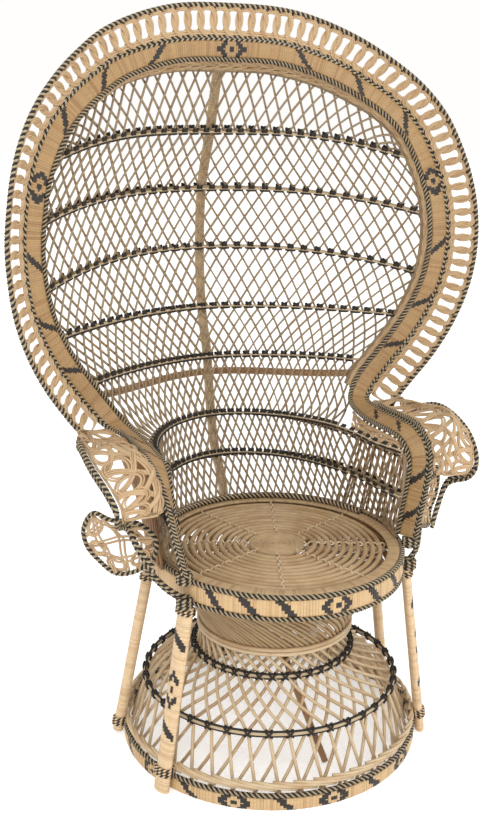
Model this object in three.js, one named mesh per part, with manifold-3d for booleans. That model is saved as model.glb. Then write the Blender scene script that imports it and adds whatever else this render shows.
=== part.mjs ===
// Peacock chair of woven rattan on a waisted cane pedestal. Millimetres, +Z up, the front faces -Y.
import * as THREE from "three";
import { mergeVertices } from "three/addons/utils/BufferGeometryUtils.js";
import Module from "manifold-3d";

const wasm = await Module();
wasm.setup();

// Clearance between pieces that touch
const gap = 0.3;

// Cords and canes
const cordRadius = 5;
const fineCord = 4.5;
const latticeCane = 4.4;
const layerRoom = 1.1;
const strandRadius = 3.2;
const pedestalCane = 8;
const hoopRadius = 6;
const railRadius = 4;

// Seat
const seatHeight = 430;
const seatHalfWidth = 249;
const seatHalfDepth = 263;
const seatCentreY = -25;
const apronHeight = 42;
const apronThickness = 8;
const seatFrameWidth = 20;
const seatFrameHeight = 22;
const marginWidth = 38;
const marginThickness = 8;
const seatDiscRadius = 58;
const seatCaneRadius = 5;
const seatCanePitch = 14.4;
const spokeCount = 8;
const spokeRadius = 4;
const braidRadius = 5.5;

// Base and pedestal
const baseRadius = 308;
const baseBandHeight = 26;
const baseBandThickness = 8;
const plaitHeight = 18;
const plaitThickness = 6;
const ringRadius = 5;
const lowerRingRadius = 261;
const lowerRingHeight = 134;
const upperRingRadius = 163;
const upperRingHeight = 205;
const waistRadius = 156;
const waistHeight = 258;
const waistCentreY = -20;
const pedestalCanes = 24;
const postRadius = 6;

// Legs
const legWidth = 36;
const legDepth = 20;
const rearLegWidth = 22;
const lashingThickness = 3;
const lashingHeight = 20;

// Back, rim and arms
const rimHalfWidth = 438;
const rimDepth = 237;
const rimTop = 1385;
const bandWidth = 41;
const bandThickness = 8;
const borderWidth = 62;
const sheetThickness = 5;
const borderLoops = 38;
const hoopSetback = 32;
const crownSetback = 15;
const backDepth = 398;
const poleRadius = 11;
const braceRadius = 8;
const backColumns = 12;
const armColumns = 3;
const wallCanes = 7;

const rimRise = rimTop - seatHeight;

// Half of the rim and arm, from the crown to the arm's foot. Each row has shares of
// rimHalfWidth, rimDepth and rimRise, then the direction across the band and the
// direction in which the border of loops flares.
const rimShares = [
  [0, 1, 1, [0, -0.14, 0.99], [0, -0.15, 0.99]],
  [0.265, 0.99, 0.994, [0.3, -0.08, 0.95], [0.14, -0.2, 0.97]],
  [0.516, 0.94, 0.96, [0.59, -0.04, 0.81], [0.4, -0.4, 0.82]],
  [0.65, 0.83, 0.925, [0.7, -0.02, 0.71], [0.5, -0.55, 0.67]],
  [0.765, 0.715, 0.885, [0.81, -0.04, 0.58], [0.56, -0.65, 0.5]],
  [0.858, 0.64, 0.837, [0.9, -0.06, 0.42], [0.58, -0.72, 0.4]],
  [0.92, 0.595, 0.784, [0.95, -0.13, 0.27], [0.59, -0.74, 0.32]],
  [0.961, 0.555, 0.733, [0.95, -0.23, 0.2], [0.6, -0.76, 0.22]],
  [0.986, 0.515, 0.679, [0.97, -0.24, 0.1], [0.61, -0.78, 0.14]],
  [1, 0.505, 0.621, [0.96, -0.28, 0], [0.62, -0.78, 0.05]],
  [0.996, 0.51, 0.563, [0.94, -0.33, -0.1], [0.62, -0.78, -0.08]],
  [0.975, 0.54, 0.503, [0.92, -0.28, -0.26], [0.61, -0.76, -0.2]],
  [0.928, 0.6, 0.438, [0.83, -0.33, -0.44], [0.6, -0.73, -0.33]],
  [0.86, 0.665, 0.377, [0.74, -0.3, -0.6], [0.58, -0.69, -0.42]],
  [0.778, 0.735, 0.32, [0.68, -0.2, -0.7], [0.54, -0.68, -0.5]],
  [0.7, 0.765, 0.271, [0.8, -0.26, -0.5], [0.52, -0.68, -0.52]],
  [0.64, 0.69, 0.235, [0.97, -0.1, -0.1], [0.6, -0.7, -0.3]],
  [0.606, 0.36, 0.224, [0.95, 0, 0.3], [0.7, -0.6, 0.1]],
  [0.607, -0.05, 0.223, [0.93, 0, 0.38], [0.8, -0.4, 0.2]],
  [0.61, -0.29, 0.22, [0.9, -0.15, 0.4], [0.8, -0.4, 0.2]],
  [0.61, -0.464, 0.197, [0.86, -0.3, 0.35], [0.8, -0.4, 0.2]],
  [0.603, -0.53, 0.167, [0.93, -0.2, 0.2], [0.8, -0.4, 0.2]],
  [0.591, -0.544, 0.126, [1, -0.1, 0], [0.8, -0.4, 0.2]],
  [0.565, -0.55, 0.066, [1, -0.15, 0], [0.8, -0.4, 0.2]],
  [0.541, -0.57, 0.014, [1, -0.2, 0], [0.8, -0.4, 0.2]],
];
const neckStation = 15.5;
const armFootStation = rimShares.length - 1;

// Places by the arm, in shares of rimHalfWidth, rimDepth and rimRise above the seat:
// the wing's ridge and lower edge with the arm station each row starts from, the ear's
// ring, the end of the wing's cord and the cord that closes the corner
const wingShares = [
  [16.3, [0.829, 0.527, 0.236], [0.836, 0.481, 0.214]],
  [17.3, [0.808, 0.03, 0.249], [0.8733, 0.0582, 0.2437]],
  [18.3, [0.785, -0.43, 0.268], [0.8833, -0.3435, 0.2303]],
  [19.4, [0.7123, -0.7004, 0.2503], [0.8568, -0.6063, 0.2007]],
  [20.4, [0.6826, -0.7257, 0.2042], [0.8336, -0.7034, 0.1709]],
  [21.4, [0.6849, -0.6962, 0.1518], [0.8208, -0.6418, 0.1393]],
];
const wingTailShares = [
  [0.7763, -0.4979, 0.1162],
  [0.726, -0.5, 0.065],
  [0.676, -0.57, 0.029],
];
const earShares = [
  [0.804, -0.211, 0.107],
  [0.858, -0.084, 0.113],
  [0.893, -0.013, 0.076],
  [0.881, -0.021, 0.04],
  [0.84, -0.063, 0.012],
  [0.783, -0.211, -0.007],
  [0.712, -0.316, 0.003],
  [0.651, -0.409, 0.035],
  [0.64, -0.42, 0.075],
  [0.703, -0.346, 0.105],
];
const cornerCordShares = [
  [0.677, -0.385, 0.012],
  [0.61, -0.54, -0.02],
  [0.531, -0.605, -0.044],
];

// The arms, wings and ears follow the seat's width and the fan above keeps its own: the seat's half
// width in shares of rimHalfWidth, and the heights between which one passes to the other
const seatShareOfRim = 0.568493;
const armTopShare = 0.272;
const rimFreeShare = 0.5;

// Low levels of the woven back, in shares of the seat: height above it in shares of rimRise, half
// width, middle, depth, and the arm's front end in shares of seatHalfWidth and of rimDepth
const lowLevelShares = [
  [0.09005, 0.9357, 1.2, 1.2395, [0.9478, -0.46419]],
  [0.18115, 0.9197, 0.8, 1.3156, [0.9478, -0.41348]],
];
const railEndShares = [0.9277, -0.4895];

// Feet of the legs in shares of baseRadius, their tops in shares of the seat's half width and depth
const frontLegShares = [[0.93864, -0.46299], [0.94578, -0.43726]];
const rearLegShares = [[1.03474, 0.21201], [1.02088, 0.22053]];

// Post inside the pedestal, in shares of waistRadius and of waistHeight
const innerPostShares = [
  [0.25641, -1.21795, 0.03876],
  [-0.05128, -0.83333, 0.65891],
  [-0.21282, -0.85, 0.96899],
];

// Small vector helpers
const vec = (x, y, z) => new THREE.Vector3(x, y, z);
const mirror = (p) => vec(-p.x, p.y, p.z);
const up = vec(0, 0, 1);
const lerp = THREE.MathUtils.lerp;
const turn = Math.PI * 2;
const evenly = (from, to, steps) => Array.from({ length: steps + 1 }, (_, i) => lerp(from, to, i / steps));
const toward = (a, b, reach) => a.clone().addScaledVector(b.clone().sub(a).normalize(), reach);
const armHold = seatHalfWidth / (seatShareOfRim * rimHalfWidth);
function placed([x, y, z]) {
  const free = THREE.MathUtils.smoothstep(z, armTopShare, rimFreeShare);
  return vec(x * rimHalfWidth * lerp(armHold, 1, free), y * rimDepth, seatHeight + z * rimRise);
}
const curve = (points, steps, closed = false) =>
  new THREE.CatmullRomCurve3(points, closed).getPoints(steps).slice(0, closed ? steps : steps + 1);

function signedVolume(points, faces) {
  let sum = 0;
  for (let i = 0; i < faces.length; i += 3) {
    const [a, b, c] = [points[faces[i]], points[faces[i + 1]], points[faces[i + 2]]];
    sum += a.dot(b.clone().cross(c));
  }
  return sum;
}

function surface(points, faces) {
  if (signedVolume(points, faces) < 0) faces.reverse();
  const geometry = new THREE.BufferGeometry().setFromPoints(points);
  geometry.setIndex(faces);
  return geometry;
}

// A closed body through rings of points, capped at its ends unless it closes on itself
function loft(rings, closed = false) {
  const sides = rings[0].length;
  const faces = [];
  const spans = closed ? rings.length : rings.length - 1;
  for (let i = 0; i < spans; i += 1) {
    const here = i * sides;
    const next = ((i + 1) % rings.length) * sides;
    for (let j = 0; j < sides; j += 1) {
      const k = (j + 1) % sides;
      faces.push(here + j, here + k, next + k, here + j, next + k, next + j);
    }
  }
  const end = (rings.length - 1) * sides;
  for (let j = 1; j < sides - 1 && !closed; j += 1) {
    faces.push(0, j + 1, j, end, end + j, end + j + 1);
  }
  return surface(rings.flat(), faces);
}

// Sections, as points across and through
function roundSection(radius, sides) {
  return Array.from({ length: sides }, (_, j) => {
    const a = ((j + 0.5) / sides) * turn;
    return [radius * Math.cos(a), radius * Math.sin(a)];
  });
}

function flatSection(width, thickness) {
  const [a, b] = [width / 2, thickness / 2];
  return [
    [-a, -b],
    [a, -b],
    [a, b],
    [-a, b],
  ];
}

// A section carried along a path. outward(p, i) points along the section's first axis.
function sweep(path, section, outward, closed = false) {
  const n = path.length;
  const rings = path.map((p, i) => {
    const before = path[i > 0 ? i - 1 : closed ? n - 1 : 0];
    const after = path[i < n - 1 ? i + 1 : closed ? 0 : n - 1];
    const along = after.clone().sub(before).normalize();
    const out = outward(p, i).clone();
    out.addScaledVector(along, -out.dot(along)).normalize();
    const through = along.clone().cross(out);
    return section.map(([a, b]) => p.clone().addScaledVector(out, a).addScaledVector(through, b));
  });
  return loft(rings, closed);
}

const square = (radius) => roundSection(radius * Math.SQRT2, 4);
const fromSeatAxis = (p) => vec(p.x, p.y - seatCentreY, 0);
const fromBaseAxis = (p) => vec(p.x, p.y, 0);

// Joins made with manifold-3d
function solid(geometry) {
  const bare = geometry.clone();
  bare.deleteAttribute("normal");
  bare.deleteAttribute("uv");
  const merged = mergeVertices(bare);
  return new wasm.Manifold(
    new wasm.Mesh({
      numProp: 3,
      vertProperties: new Float32Array(merged.attributes.position.array),
      triVerts: new Uint32Array(merged.index.array),
    }),
  );
}

function join(geometries) {
  let parts = geometries.map(solid);
  while (parts.length > 1) {
    const next = [];
    for (let i = 0; i < parts.length; i += 2) {
      next.push(i + 1 < parts.length ? parts[i].add(parts[i + 1]) : parts[i]);
    }
    parts = next;
  }
  const mesh = parts[0].getMesh();
  const geometry = new THREE.BufferGeometry();
  geometry.setAttribute("position", new THREE.BufferAttribute(mesh.vertProperties, 3));
  geometry.setIndex(new THREE.BufferAttribute(mesh.triVerts, 1));
  return geometry;
}

const chair = new THREE.Group();

// Finishes: natural cane, honey cane of the wrapped bands, brown poles, dyed and two-tone cords
const natural = { color: 0xc8ab80, roughness: 0.62 };
const honey = { color: 0xcfa566, roughness: 0.55 };
const brown = { color: 0xa8794c, roughness: 0.6 };
const dyed = { color: 0x4a4036, roughness: 0.7 };
const twoTone = { color: 0x8b7d68, roughness: 0.68 };

function add(name, geometry, finish) {
  const mesh = new THREE.Mesh(geometry, new THREE.MeshStandardMaterial({ ...finish, metalness: 0 }));
  mesh.name = name;
  chair.add(mesh);
}

// A piece on the chair's right side and its mirror image on the left
function addPair(name, geometry, finish) {
  const image = geometry.clone().scale(-1, 1, 1);
  image.setIndex(Array.from(image.index.array).reverse());
  add(name + "_right", geometry, finish);
  add(name + "_left", image, finish);
}

function ring(radius, z, steps, centreY = 0) {
  return evenly(0, turn, steps)
    .slice(0, steps)
    .map((a) => vec(radius * Math.cos(a), centreY + radius * Math.sin(a), z));
}

// The seat's ellipse, moved inwards by inset
function seatPoint(angle, inset, z) {
  const x = (seatHalfWidth - inset) * Math.cos(angle);
  return vec(x, seatCentreY + (seatHalfDepth - inset) * Math.sin(angle), z);
}

const seatLoop = (inset, z, steps) =>
  evenly(0, turn, steps)
    .slice(0, steps)
    .map((a) => seatPoint(a, inset, z));

// Base: wrapped band on the floor, edge cord, and a plaited border above it
const baseSteps = pedestalCanes;
const baseLine = baseRadius - baseBandThickness / 2;
const baseCordZ = baseBandHeight + gap + cordRadius;
const plaitZ = baseCordZ + cordRadius + gap + plaitHeight / 2;
const plaitLine = baseLine - (baseBandThickness - plaitThickness) / 2;
const baseRing = (radius, z, section) => sweep(ring(radius, z, baseSteps), section, fromBaseAxis, true);
add("base_band", baseRing(baseLine, baseBandHeight / 2, flatSection(baseBandThickness, baseBandHeight)), honey);
add("base_cord", baseRing(baseLine, baseCordZ, square(cordRadius)), twoTone);
add("base_plait", baseRing(plaitLine, plaitZ, flatSection(plaitThickness, plaitHeight)), natural);

// Heights under the seat
const seatCaneZ = seatHeight - 2 * seatCaneRadius;
const spokeZ = seatCaneZ - seatCaneRadius - gap - spokeRadius;
const edgeCordZ = seatHeight - cordRadius;
const lowerCordZ = edgeCordZ - apronHeight;
const marginZ = seatHeight - marginThickness / 2;
const frameInset = cordRadius + gap + seatFrameWidth / 2;
const frameZ = marginZ - marginThickness / 2 - gap - seatFrameHeight / 2;
const topHoopZ = frameZ - seatFrameHeight / 2 - gap - hoopRadius;
const topHoopInset = frameInset + seatFrameWidth / 2;

// Pedestal: two crossing layers of canes. Each level of the outer layer has its height, its
// radius, by how many canes it has turned there, and the middle of its ring.
const caneRadius = pedestalCane / 2;
const insideRing = ringRadius + gap + caneRadius / 2;
const outerBase = baseRadius - baseBandThickness - railRadius;
const topRadius = seatHalfWidth - topHoopInset;
const lowerSlope = 1.15;
const steepness = 1.45;
const flareSlope = 1.4;
const pedestalTable = [
  { z: 0, r: outerBase, turned: 0, y: 0 },
  { z: lowerRingHeight, r: lowerRingRadius - insideRing * lowerSlope, turned: 1.5, y: 0 },
  { z: upperRingHeight, r: upperRingRadius - insideRing * steepness, turned: 4.5, y: waistCentreY / 2 },
  { z: waistHeight, r: waistRadius - insideRing * flareSlope, turned: 6.5, y: waistCentreY },
  {
    z: lerp(waistHeight, topHoopZ, 0.55),
    r: lerp(waistRadius - insideRing, topRadius, 0.42),
    turned: 8.5,
    y: seatCentreY,
  },
  { z: topHoopZ, r: topRadius, turned: 10.5, y: seatCentreY },
];

function pedestalAt(z) {
  const k = Math.max(pedestalTable.findIndex((row) => row.z >= z), 1);
  const [a, b] = [pedestalTable[k - 1], pedestalTable[k]];
  const f = (z - a.z) / (b.z - a.z);
  const slope = Math.hypot(1, (b.r - a.r) / (b.z - a.z));
  return { z, r: lerp(a.r, b.r, f), turned: lerp(a.turned, b.turned, f), y: lerp(a.y, b.y, f), slope };
}

function caneFamily(bottom, top, sense, inwards) {
  const middle = pedestalTable.map((row) => row.z).filter((z) => z > bottom && z < top);
  const levels = [bottom, ...middle, top].map(pedestalAt);
  const place = (level, a) => {
    const above = pedestalAt(Math.min(level.z + caneRadius, topHoopZ));
    const r = level.r - inwards * Math.max(level.slope, above.slope);
    return vec(r * Math.cos(a), level.y + r * Math.sin(a), level.z);
  };
  const canes = Array.from({ length: pedestalCanes }, (_, i) => {
    const start = i + (sense < 0 ? 1 / 2 : 0);
    const path = levels.map((level) => place(level, ((start + sense * level.turned) / pedestalCanes) * turn));
    return sweep(path, roundSection(caneRadius, 3), fromBaseAxis);
  });
  const hoopLine = Array.from({ length: pedestalCanes }, (_, i) => place(levels[0], (i / pedestalCanes) * turn));
  const hoop = sweep(hoopLine, square(railRadius), fromBaseAxis, true);
  return join([...canes, hoop]);
}

const layer = pedestalCane + 3 * gap;
const caneTop = topHoopZ - hoopRadius - caneRadius + 3 * gap;
add("pedestal_lower_canes", caneFamily(railRadius, waistHeight - 2 * railRadius, -1, 0), natural);
add("pedestal_upper_canes", caneFamily(waistHeight, caneTop, -1, 0), natural);
add("pedestal_inner_canes", caneFamily(railRadius * 3 + gap, waistHeight + ringRadius, 1, layer), natural);

function hoopNode(name, radius, z, centreY, finish) {
  add(name, sweep(ring(radius, z, baseSteps, centreY), roundSection(ringRadius, 3), fromBaseAxis, true), finish);
}
hoopNode("pedestal_ring_lower", lowerRingRadius, lowerRingHeight, 0, dyed);
hoopNode("pedestal_ring_upper", upperRingRadius, upperRingHeight, waistCentreY / 2, dyed);
const waistShares = [[-1, -2], [1, -2], [1, -0.2], [0.4, 0], [1, 0.2], [1, 2], [-1, 2]];
const waistPlaces = waistShares.map(([a, b]) => [a * caneRadius, b * caneRadius]);
add("waist_hoop", sweep(ring(waistRadius, waistHeight, baseSteps, waistCentreY), waistPlaces, fromBaseAxis, true), natural);

// Seat: frame hoop, wrapped apron between two cords, flat margin, wound cane and its spokes
const seatSteps = 30;
const seatRing = (inset, z, section) => sweep(seatLoop(inset, z, seatSteps), section, fromSeatAxis, true);
const apronTop = edgeCordZ - cordRadius - gap;
const apronBottom = lowerCordZ + cordRadius + gap;
const marginInset = cordRadius + gap + marginWidth / 2;
add("pedestal_top_hoop", seatRing(topHoopInset, topHoopZ, square(hoopRadius)), brown);
add(
  "seat_apron",
  seatRing(0, (apronTop + apronBottom) / 2, flatSection(apronThickness, apronTop - apronBottom)),
  honey,
);
add("apron_cord_top", seatRing(0, edgeCordZ, square(cordRadius)), twoTone);
add("apron_cord_bottom", seatRing(0, lowerCordZ, square(cordRadius)), twoTone);
add("seat_frame", seatRing(frameInset, frameZ, flatSection(seatFrameWidth, seatFrameHeight)), brown);
add("seat_margin", seatRing(marginInset, marginZ, flatSection(marginWidth, marginThickness)), natural);

// The wound cane runs from the centre disc out to the margin as one unbroken spiral
const spiralStart = seatDiscRadius + gap + seatCaneRadius;
const spiralEnd = seatHalfWidth - marginInset - marginWidth / 2 - 3 * gap - seatCaneRadius;
const spiralTurns = (spiralEnd - spiralStart) / seatCanePitch;
const spiralSteps = 20;
const spiralCount = Math.round(spiralTurns * spiralSteps);
const spiral = Array.from({ length: spiralCount + 1 }, (_, i) => {
  const a = (i / spiralSteps) * turn;
  const r = lerp(spiralStart, spiralEnd, i / spiralCount);
  const stretch = (seatHalfDepth - seatHalfWidth) * (i / spiralCount);
  return vec(r * Math.cos(a), seatCentreY + (r + stretch) * Math.sin(a), seatCaneZ);
});
add("seat_spiral", sweep(spiral, square(seatCaneRadius), fromSeatAxis), natural);
const least = spiral
  .slice(0, spiral.length - spiralSteps)
  .reduce((low, p, i) => Math.min(low, p.distanceTo(spiral[i + spiralSteps])), Infinity);
console.log("seat spiral:", spiralTurns.toFixed(1), "turns, least gap", (least - 2 * seatCaneRadius).toFixed(2));

// Centre disc of fine wound cane, its ridges turned as one profile and flat in the middle
const discRidges = 4;
const discRidgeDepth = 1.5;
const discBottom = seatCaneZ - seatCaneRadius + gap;
const discTop = seatCaneZ + seatCaneRadius - gap;
const discProfile = [new THREE.Vector2(0, discBottom), new THREE.Vector2(seatDiscRadius, discBottom)];
for (let i = discRidges; i > 1; i -= 1) {
  const outer = (seatDiscRadius * i) / discRidges;
  const middle = (seatDiscRadius * (i - 1 / 2)) / discRidges;
  discProfile.push(new THREE.Vector2(outer, discTop - discRidgeDepth), new THREE.Vector2(middle, discTop));
}
discProfile.push(new THREE.Vector2(0, discTop));
const disc = new THREE.LatheGeometry(discProfile, 14);
disc.rotateX(Math.PI / 2);
disc.translate(0, seatCentreY, 0);
add("seat_disc", disc, natural);

// Spokes under the wound cane, joined by a hub ring
const hubRadius = seatDiscRadius / 2;
const chordSag = seatHalfDepth * (1 - Math.cos(turn / 2 / seatSteps));
const spokeEnd = frameInset + seatFrameWidth / 2 + gap + 2 * chordSag;
const spokes = Array.from({ length: spokeCount }, (_, i) => {
  const a = ((i + 1 / 2) / spokeCount) * turn;
  const inner = vec(hubRadius * Math.cos(a), seatCentreY + hubRadius * Math.sin(a), spokeZ);
  return sweep([inner, seatPoint(a, spokeEnd, spokeZ)], square(spokeRadius), () => up);
});
const hub = sweep(ring(hubRadius, spokeZ, 12, seatCentreY), square(spokeRadius), fromSeatAxis, true);
add("seat_spokes", join([...spokes, hub]), brown);

// Rim and arm line: one curve from the left arm's foot over the crown to the right arm's foot
const bothHalves = (points) => [...points.slice(1).reverse().map(mirror), ...points];
const rimCurve = (points) => new THREE.CatmullRomCurve3(bothHalves(points));
const rimLine = rimCurve(rimShares.map(placed));
const rimAcross = rimCurve(rimShares.map((row) => vec(...row[3])));
const rimFlare = rimCurve(rimShares.map((row) => vec(...row[4])));
const along = (station) => (station / armFootStation + 1) / 2;
const linePoint = (s) => rimLine.getPoint(along(s));
const across = (s) => rimAcross.getPoint(along(s)).normalize();
const flare = (s) => rimFlare.getPoint(along(s)).normalize();
const cordPoint = (s, side) => linePoint(s).addScaledVector(across(s), (side * bandWidth) / 2);

const rimTwist = 1.2;
const armTwist = 2.52;
const neckGap = 0.225;
const stationSweep = (list, point, section, out = across) => sweep(list.map(point), section, (_, i) => out(list[i]));
const bandOn = (list, twist) =>
  stationSweep(list, linePoint, flatSection(bandWidth - 2 * (cordRadius + gap + twist), bandThickness));
const cordOn = (list, side) => stationSweep(list, (s) => cordPoint(s, side), square(cordRadius));
const rimStations = evenly(-neckStation, neckStation, 36);
const armStations = evenly(neckStation + neckGap, armFootStation, 13);
const beyondNeck = armStations.slice(1);
const cordStations = [...beyondNeck.map((s) => -s).reverse(), ...rimStations, ...beyondNeck];
add("rim_band", bandOn(rimStations, rimTwist), honey);
add("rim_cord_inner", cordOn(cordStations, -1), twoTone);
add("rim_cord_outer", cordOn(cordStations, 1), twoTone);
addPair("arm_band", bandOn(armStations, armTwist), honey);

// Loops woven of cane: a sheet with one pinched opening in each of its cells. grid[i][j] holds
// points, i along the sheet and j across it; a closed sheet joins its last row to its first.
const openingShares = [
  [0.2, 0.16],
  [0.8, 0.16],
  [0.66, 0.5],
  [0.8, 0.84],
  [0.2, 0.84],
  [0.34, 0.5],
];

function loopSheet(grid, closed = false) {
  const rows = grid.length;
  const columns = grid[0].length;
  const spans = closed ? rows : rows - 1;
  const row = (i) => (closed ? (i + rows) % rows : Math.min(Math.max(i, 0), rows - 1));
  const column = (j) => Math.min(Math.max(j, 0), columns - 1);
  const normals = grid.map((_, i) =>
    grid[i].map((_, j) => {
      const length = grid[row(i + 1)][j].clone().sub(grid[row(i - 1)][j]);
      const width = grid[i][column(j + 1)].clone().sub(grid[i][column(j - 1)]);
      return length.cross(width).normalize();
    }),
  );
  const points = [];
  const faces = [];
  const side = (p, n, sign) => points.push(p.clone().addScaledVector(n, (sign * sheetThickness) / 2)) - 1;
  const pair = (p, n) => [side(p, n, 1), side(p, n, -1)];
  const corner = grid.map((list, i) => list.map((p, j) => pair(p, normals[i][j])));
  const wall = (p, q) => faces.push(p[0], q[0], p[1], q[0], q[1], p[1]);
  const cover = (p, q, r) => faces.push(p[0], q[0], r[0], p[1], r[1], q[1]);
  for (let i = 0; i < spans; i += 1) {
    for (let j = 0; j + 1 < columns; j += 1) {
      const at = [[i, j], [row(i + 1), j], [row(i + 1), j + 1], [i, j + 1]];
      const [a, b, c, d] = at.map(([r, k]) => grid[r][k]);
      const outer = at.map(([r, k]) => corner[r][k]);
      const n = at.reduce((sum, [r, k]) => sum.add(normals[r][k]), vec(0, 0, 0)).normalize();
      const hole = openingShares.map(([u, v]) => pair(a.clone().lerp(b, u).lerp(d.clone().lerp(c, u), v), n));
      cover(outer[0], outer[1], hole[1]);
      cover(outer[0], hole[1], hole[0]);
      cover(outer[1], hole[2], hole[1]);
      cover(outer[1], outer[2], hole[2]);
      cover(outer[2], hole[3], hole[2]);
      cover(outer[2], outer[3], hole[3]);
      cover(outer[3], hole[4], hole[3]);
      cover(outer[3], hole[5], hole[4]);
      cover(outer[3], outer[0], hole[5]);
      cover(outer[0], hole[0], hole[5]);
      hole.forEach((p, k) => wall(p, hole[(k + 1) % hole.length]));
    }
    wall(corner[row(i + 1)][0], corner[i][0]);
    wall(corner[i][columns - 1], corner[row(i + 1)][columns - 1]);
  }
  for (let j = 0; j + 1 < columns && !closed; j += 1) {
    wall(corner[0][j], corner[0][j + 1]);
    wall(corner[rows - 1][j + 1], corner[rows - 1][j]);
  }
  return surface(points, faces);
}

// Border of loops outside the rim and its edge cord
const borderPoint = (s, reach) => cordPoint(s, 1).addScaledVector(flare(s), reach);
const borderInner = cordRadius + 3 * gap + sheetThickness / 2;
const borderOuter = borderWidth - fineCord - 3 * gap;
const borderStations = evenly(-neckStation, neckStation, borderLoops);
add("border_loops", loopSheet(borderStations.map((s) => [borderPoint(s, borderInner), borderPoint(s, borderOuter)])), natural);
add("border_cord", stationSweep(borderStations, (s) => borderPoint(s, borderWidth), square(fineCord), flare), twoTone);

// Rear hoop behind the rim, and the plaited soffit that closes the space between them
function hoopPoint(s) {
  const lift = Math.max(across(s).z, 0);
  return cordPoint(s, -1).add(vec(0, hoopSetback + crownSetback * lift * lift, 0));
}
const soffitThickness = 5;
const soffitRings = rimStations.map((s) => {
  const front = cordPoint(s, -1).add(vec(0, cordRadius * Math.SQRT2 + gap, 0));
  const back = hoopPoint(s).add(vec(0, -railRadius * Math.SQRT2 - layerRoom, 0));
  const inward = across(s).setY(0).normalize().multiplyScalar(-soffitThickness / 2);
  return [front.clone().add(inward), back.clone().add(inward), back.clone().sub(inward), front.clone().sub(inward)];
});
add("rim_soffit", loft(soffitRings), natural);

// Levels of the woven back: seat rail and two arm levels, then five levels and the crown.
// Upper levels have the rim station of their ends and the height and depth of their middle.
const railZ = seatHeight + gap + railRadius;
const railInset = 3;
const armFront = ([x, y]) => [x * seatHalfWidth, y * rimDepth];
const railLevel = {
  z: railZ,
  halfWidth: seatHalfWidth - railInset,
  y: seatCentreY,
  depth: seatHalfDepth - railInset,
  end: armFront(railEndShares),
};
const lowLevels = [
  railLevel,
  ...lowLevelShares.map(([height, width, middle, depth, end]) => ({
    z: seatHeight + height * rimRise,
    halfWidth: width * seatHalfWidth,
    y: middle * seatCentreY,
    depth: depth * seatHalfDepth,
    end: armFront(end),
  })),
];
const highLevels = [
  { end: 14.45, height: 0.315, depth: 0.88 },
  { end: 12.45, height: 0.427, depth: 0.97 },
  { end: 10.75, height: 0.568, depth: 1 },
  { end: 8.35, height: 0.704, depth: 0.965 },
  { end: 5.9, height: 0.836, depth: 0.83 },
];
const fullness = 1.75;
const liftPower = 3;
const neckShare = 0.57;
const curveSteps = 30;

// Right half of a low level, from the middle of the back to the arm's front
function lowCurve({ z, halfWidth, y, depth, end }) {
  const points = evenly(turn / 4, 0, curveSteps).map((a) => vec(halfWidth * Math.cos(a), y + depth * Math.sin(a), z));
  points.push(vec(end[0], end[1], z));
  return points;
}

function highCurve({ end, height, depth }) {
  const tip = hoopPoint(end);
  const z = seatHeight + height * rimRise;
  const y = depth * backDepth;
  return evenly(0, turn / 4, curveSteps).map((a) => {
    const u = Math.sin(a);
    return vec(tip.x * u, lerp(y, tip.y, u ** fullness), lerp(z, tip.z, u ** liftPower));
  });
}

// Point at a share of the curve's own length
function byLength(points) {
  const sums = [0];
  for (let i = 1; i < points.length; i += 1) sums.push(sums[i - 1] + points[i].distanceTo(points[i - 1]));
  return (share) => {
    const at = Math.min(Math.max(share, 0), 1) * sums[sums.length - 1];
    let k = 1;
    while (k < points.length - 1 && sums[k] < at) k += 1;
    return points[k - 1].clone().lerp(points[k], (at - sums[k - 1]) / (sums[k] - sums[k - 1]));
  };
}

const halfColumns = backColumns / 2;
const armLevel = lowLevels.length - 1;
const firstHigh = lowLevels.length;
const crownLevel = firstHigh + highLevels.length;
const crownEnd = highLevels[highLevels.length - 1].end;
const levelCurves = [
  ...lowLevels.map((level) => byLength(lowCurve(level))),
  ...highLevels.map((level) => byLength(highCurve(level))),
  byLength(evenly(0, crownEnd, curveSteps).map(hoopPoint)),
];

// Column c counts from the middle; the back ends at halfColumns, the arms at armColumns more
function levelPoint(k, c) {
  const side = Math.abs(c);
  const inBack = side / halfColumns;
  const inArm = (side - halfColumns) / armColumns;
  const lowShare = side <= halfColumns ? neckShare * inBack : neckShare + (1 - neckShare) * inArm;
  const p = levelCurves[k](k <= armLevel ? lowShare : inBack);
  return c < 0 ? mirror(p) : p;
}

// Rim station of the woven back's edge at level v
const edgeStops = [neckStation, ...highLevels.map(({ end }) => end), crownEnd];
const neckLevel = armLevel + 1 / 2;
function edgeStation(v) {
  if (v <= firstHigh) return lerp(edgeStops[0], edgeStops[1], (v - neckLevel) / (firstHigh - neckLevel));
  const k = Math.min(Math.floor(v), crownLevel - 1);
  return lerp(edgeStops[k - firstHigh + 1], edgeStops[k - firstHigh + 2], v - k);
}

// Point on the woven surface: v counts levels from the seat. Near the edges of the upper
// back it leans towards the hoop, so that every cane ends on it.
const leanPower = 3;
function wovenPoint(v, c) {
  const k = Math.min(Math.floor(v), crownLevel - 1);
  const p = levelPoint(k, c).lerp(levelPoint(k + 1, c), v - k);
  if (v <= armLevel || v > crownLevel - 1) return p;
  const edge = levelPoint(k, halfColumns).lerp(levelPoint(k + 1, halfColumns), v - k);
  const neck = levelPoint(armLevel, halfColumns).lerp(hoopPoint(neckStation), (v - armLevel) / (neckLevel - armLevel));
  const shift = (v < neckLevel ? neck : hoopPoint(edgeStation(v))).sub(edge);
  const weight = Math.min(Math.abs(c) / halfColumns, 1) ** leanPower;
  return p.addScaledVector(c < 0 ? mirror(shift) : shift, weight);
}

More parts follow.
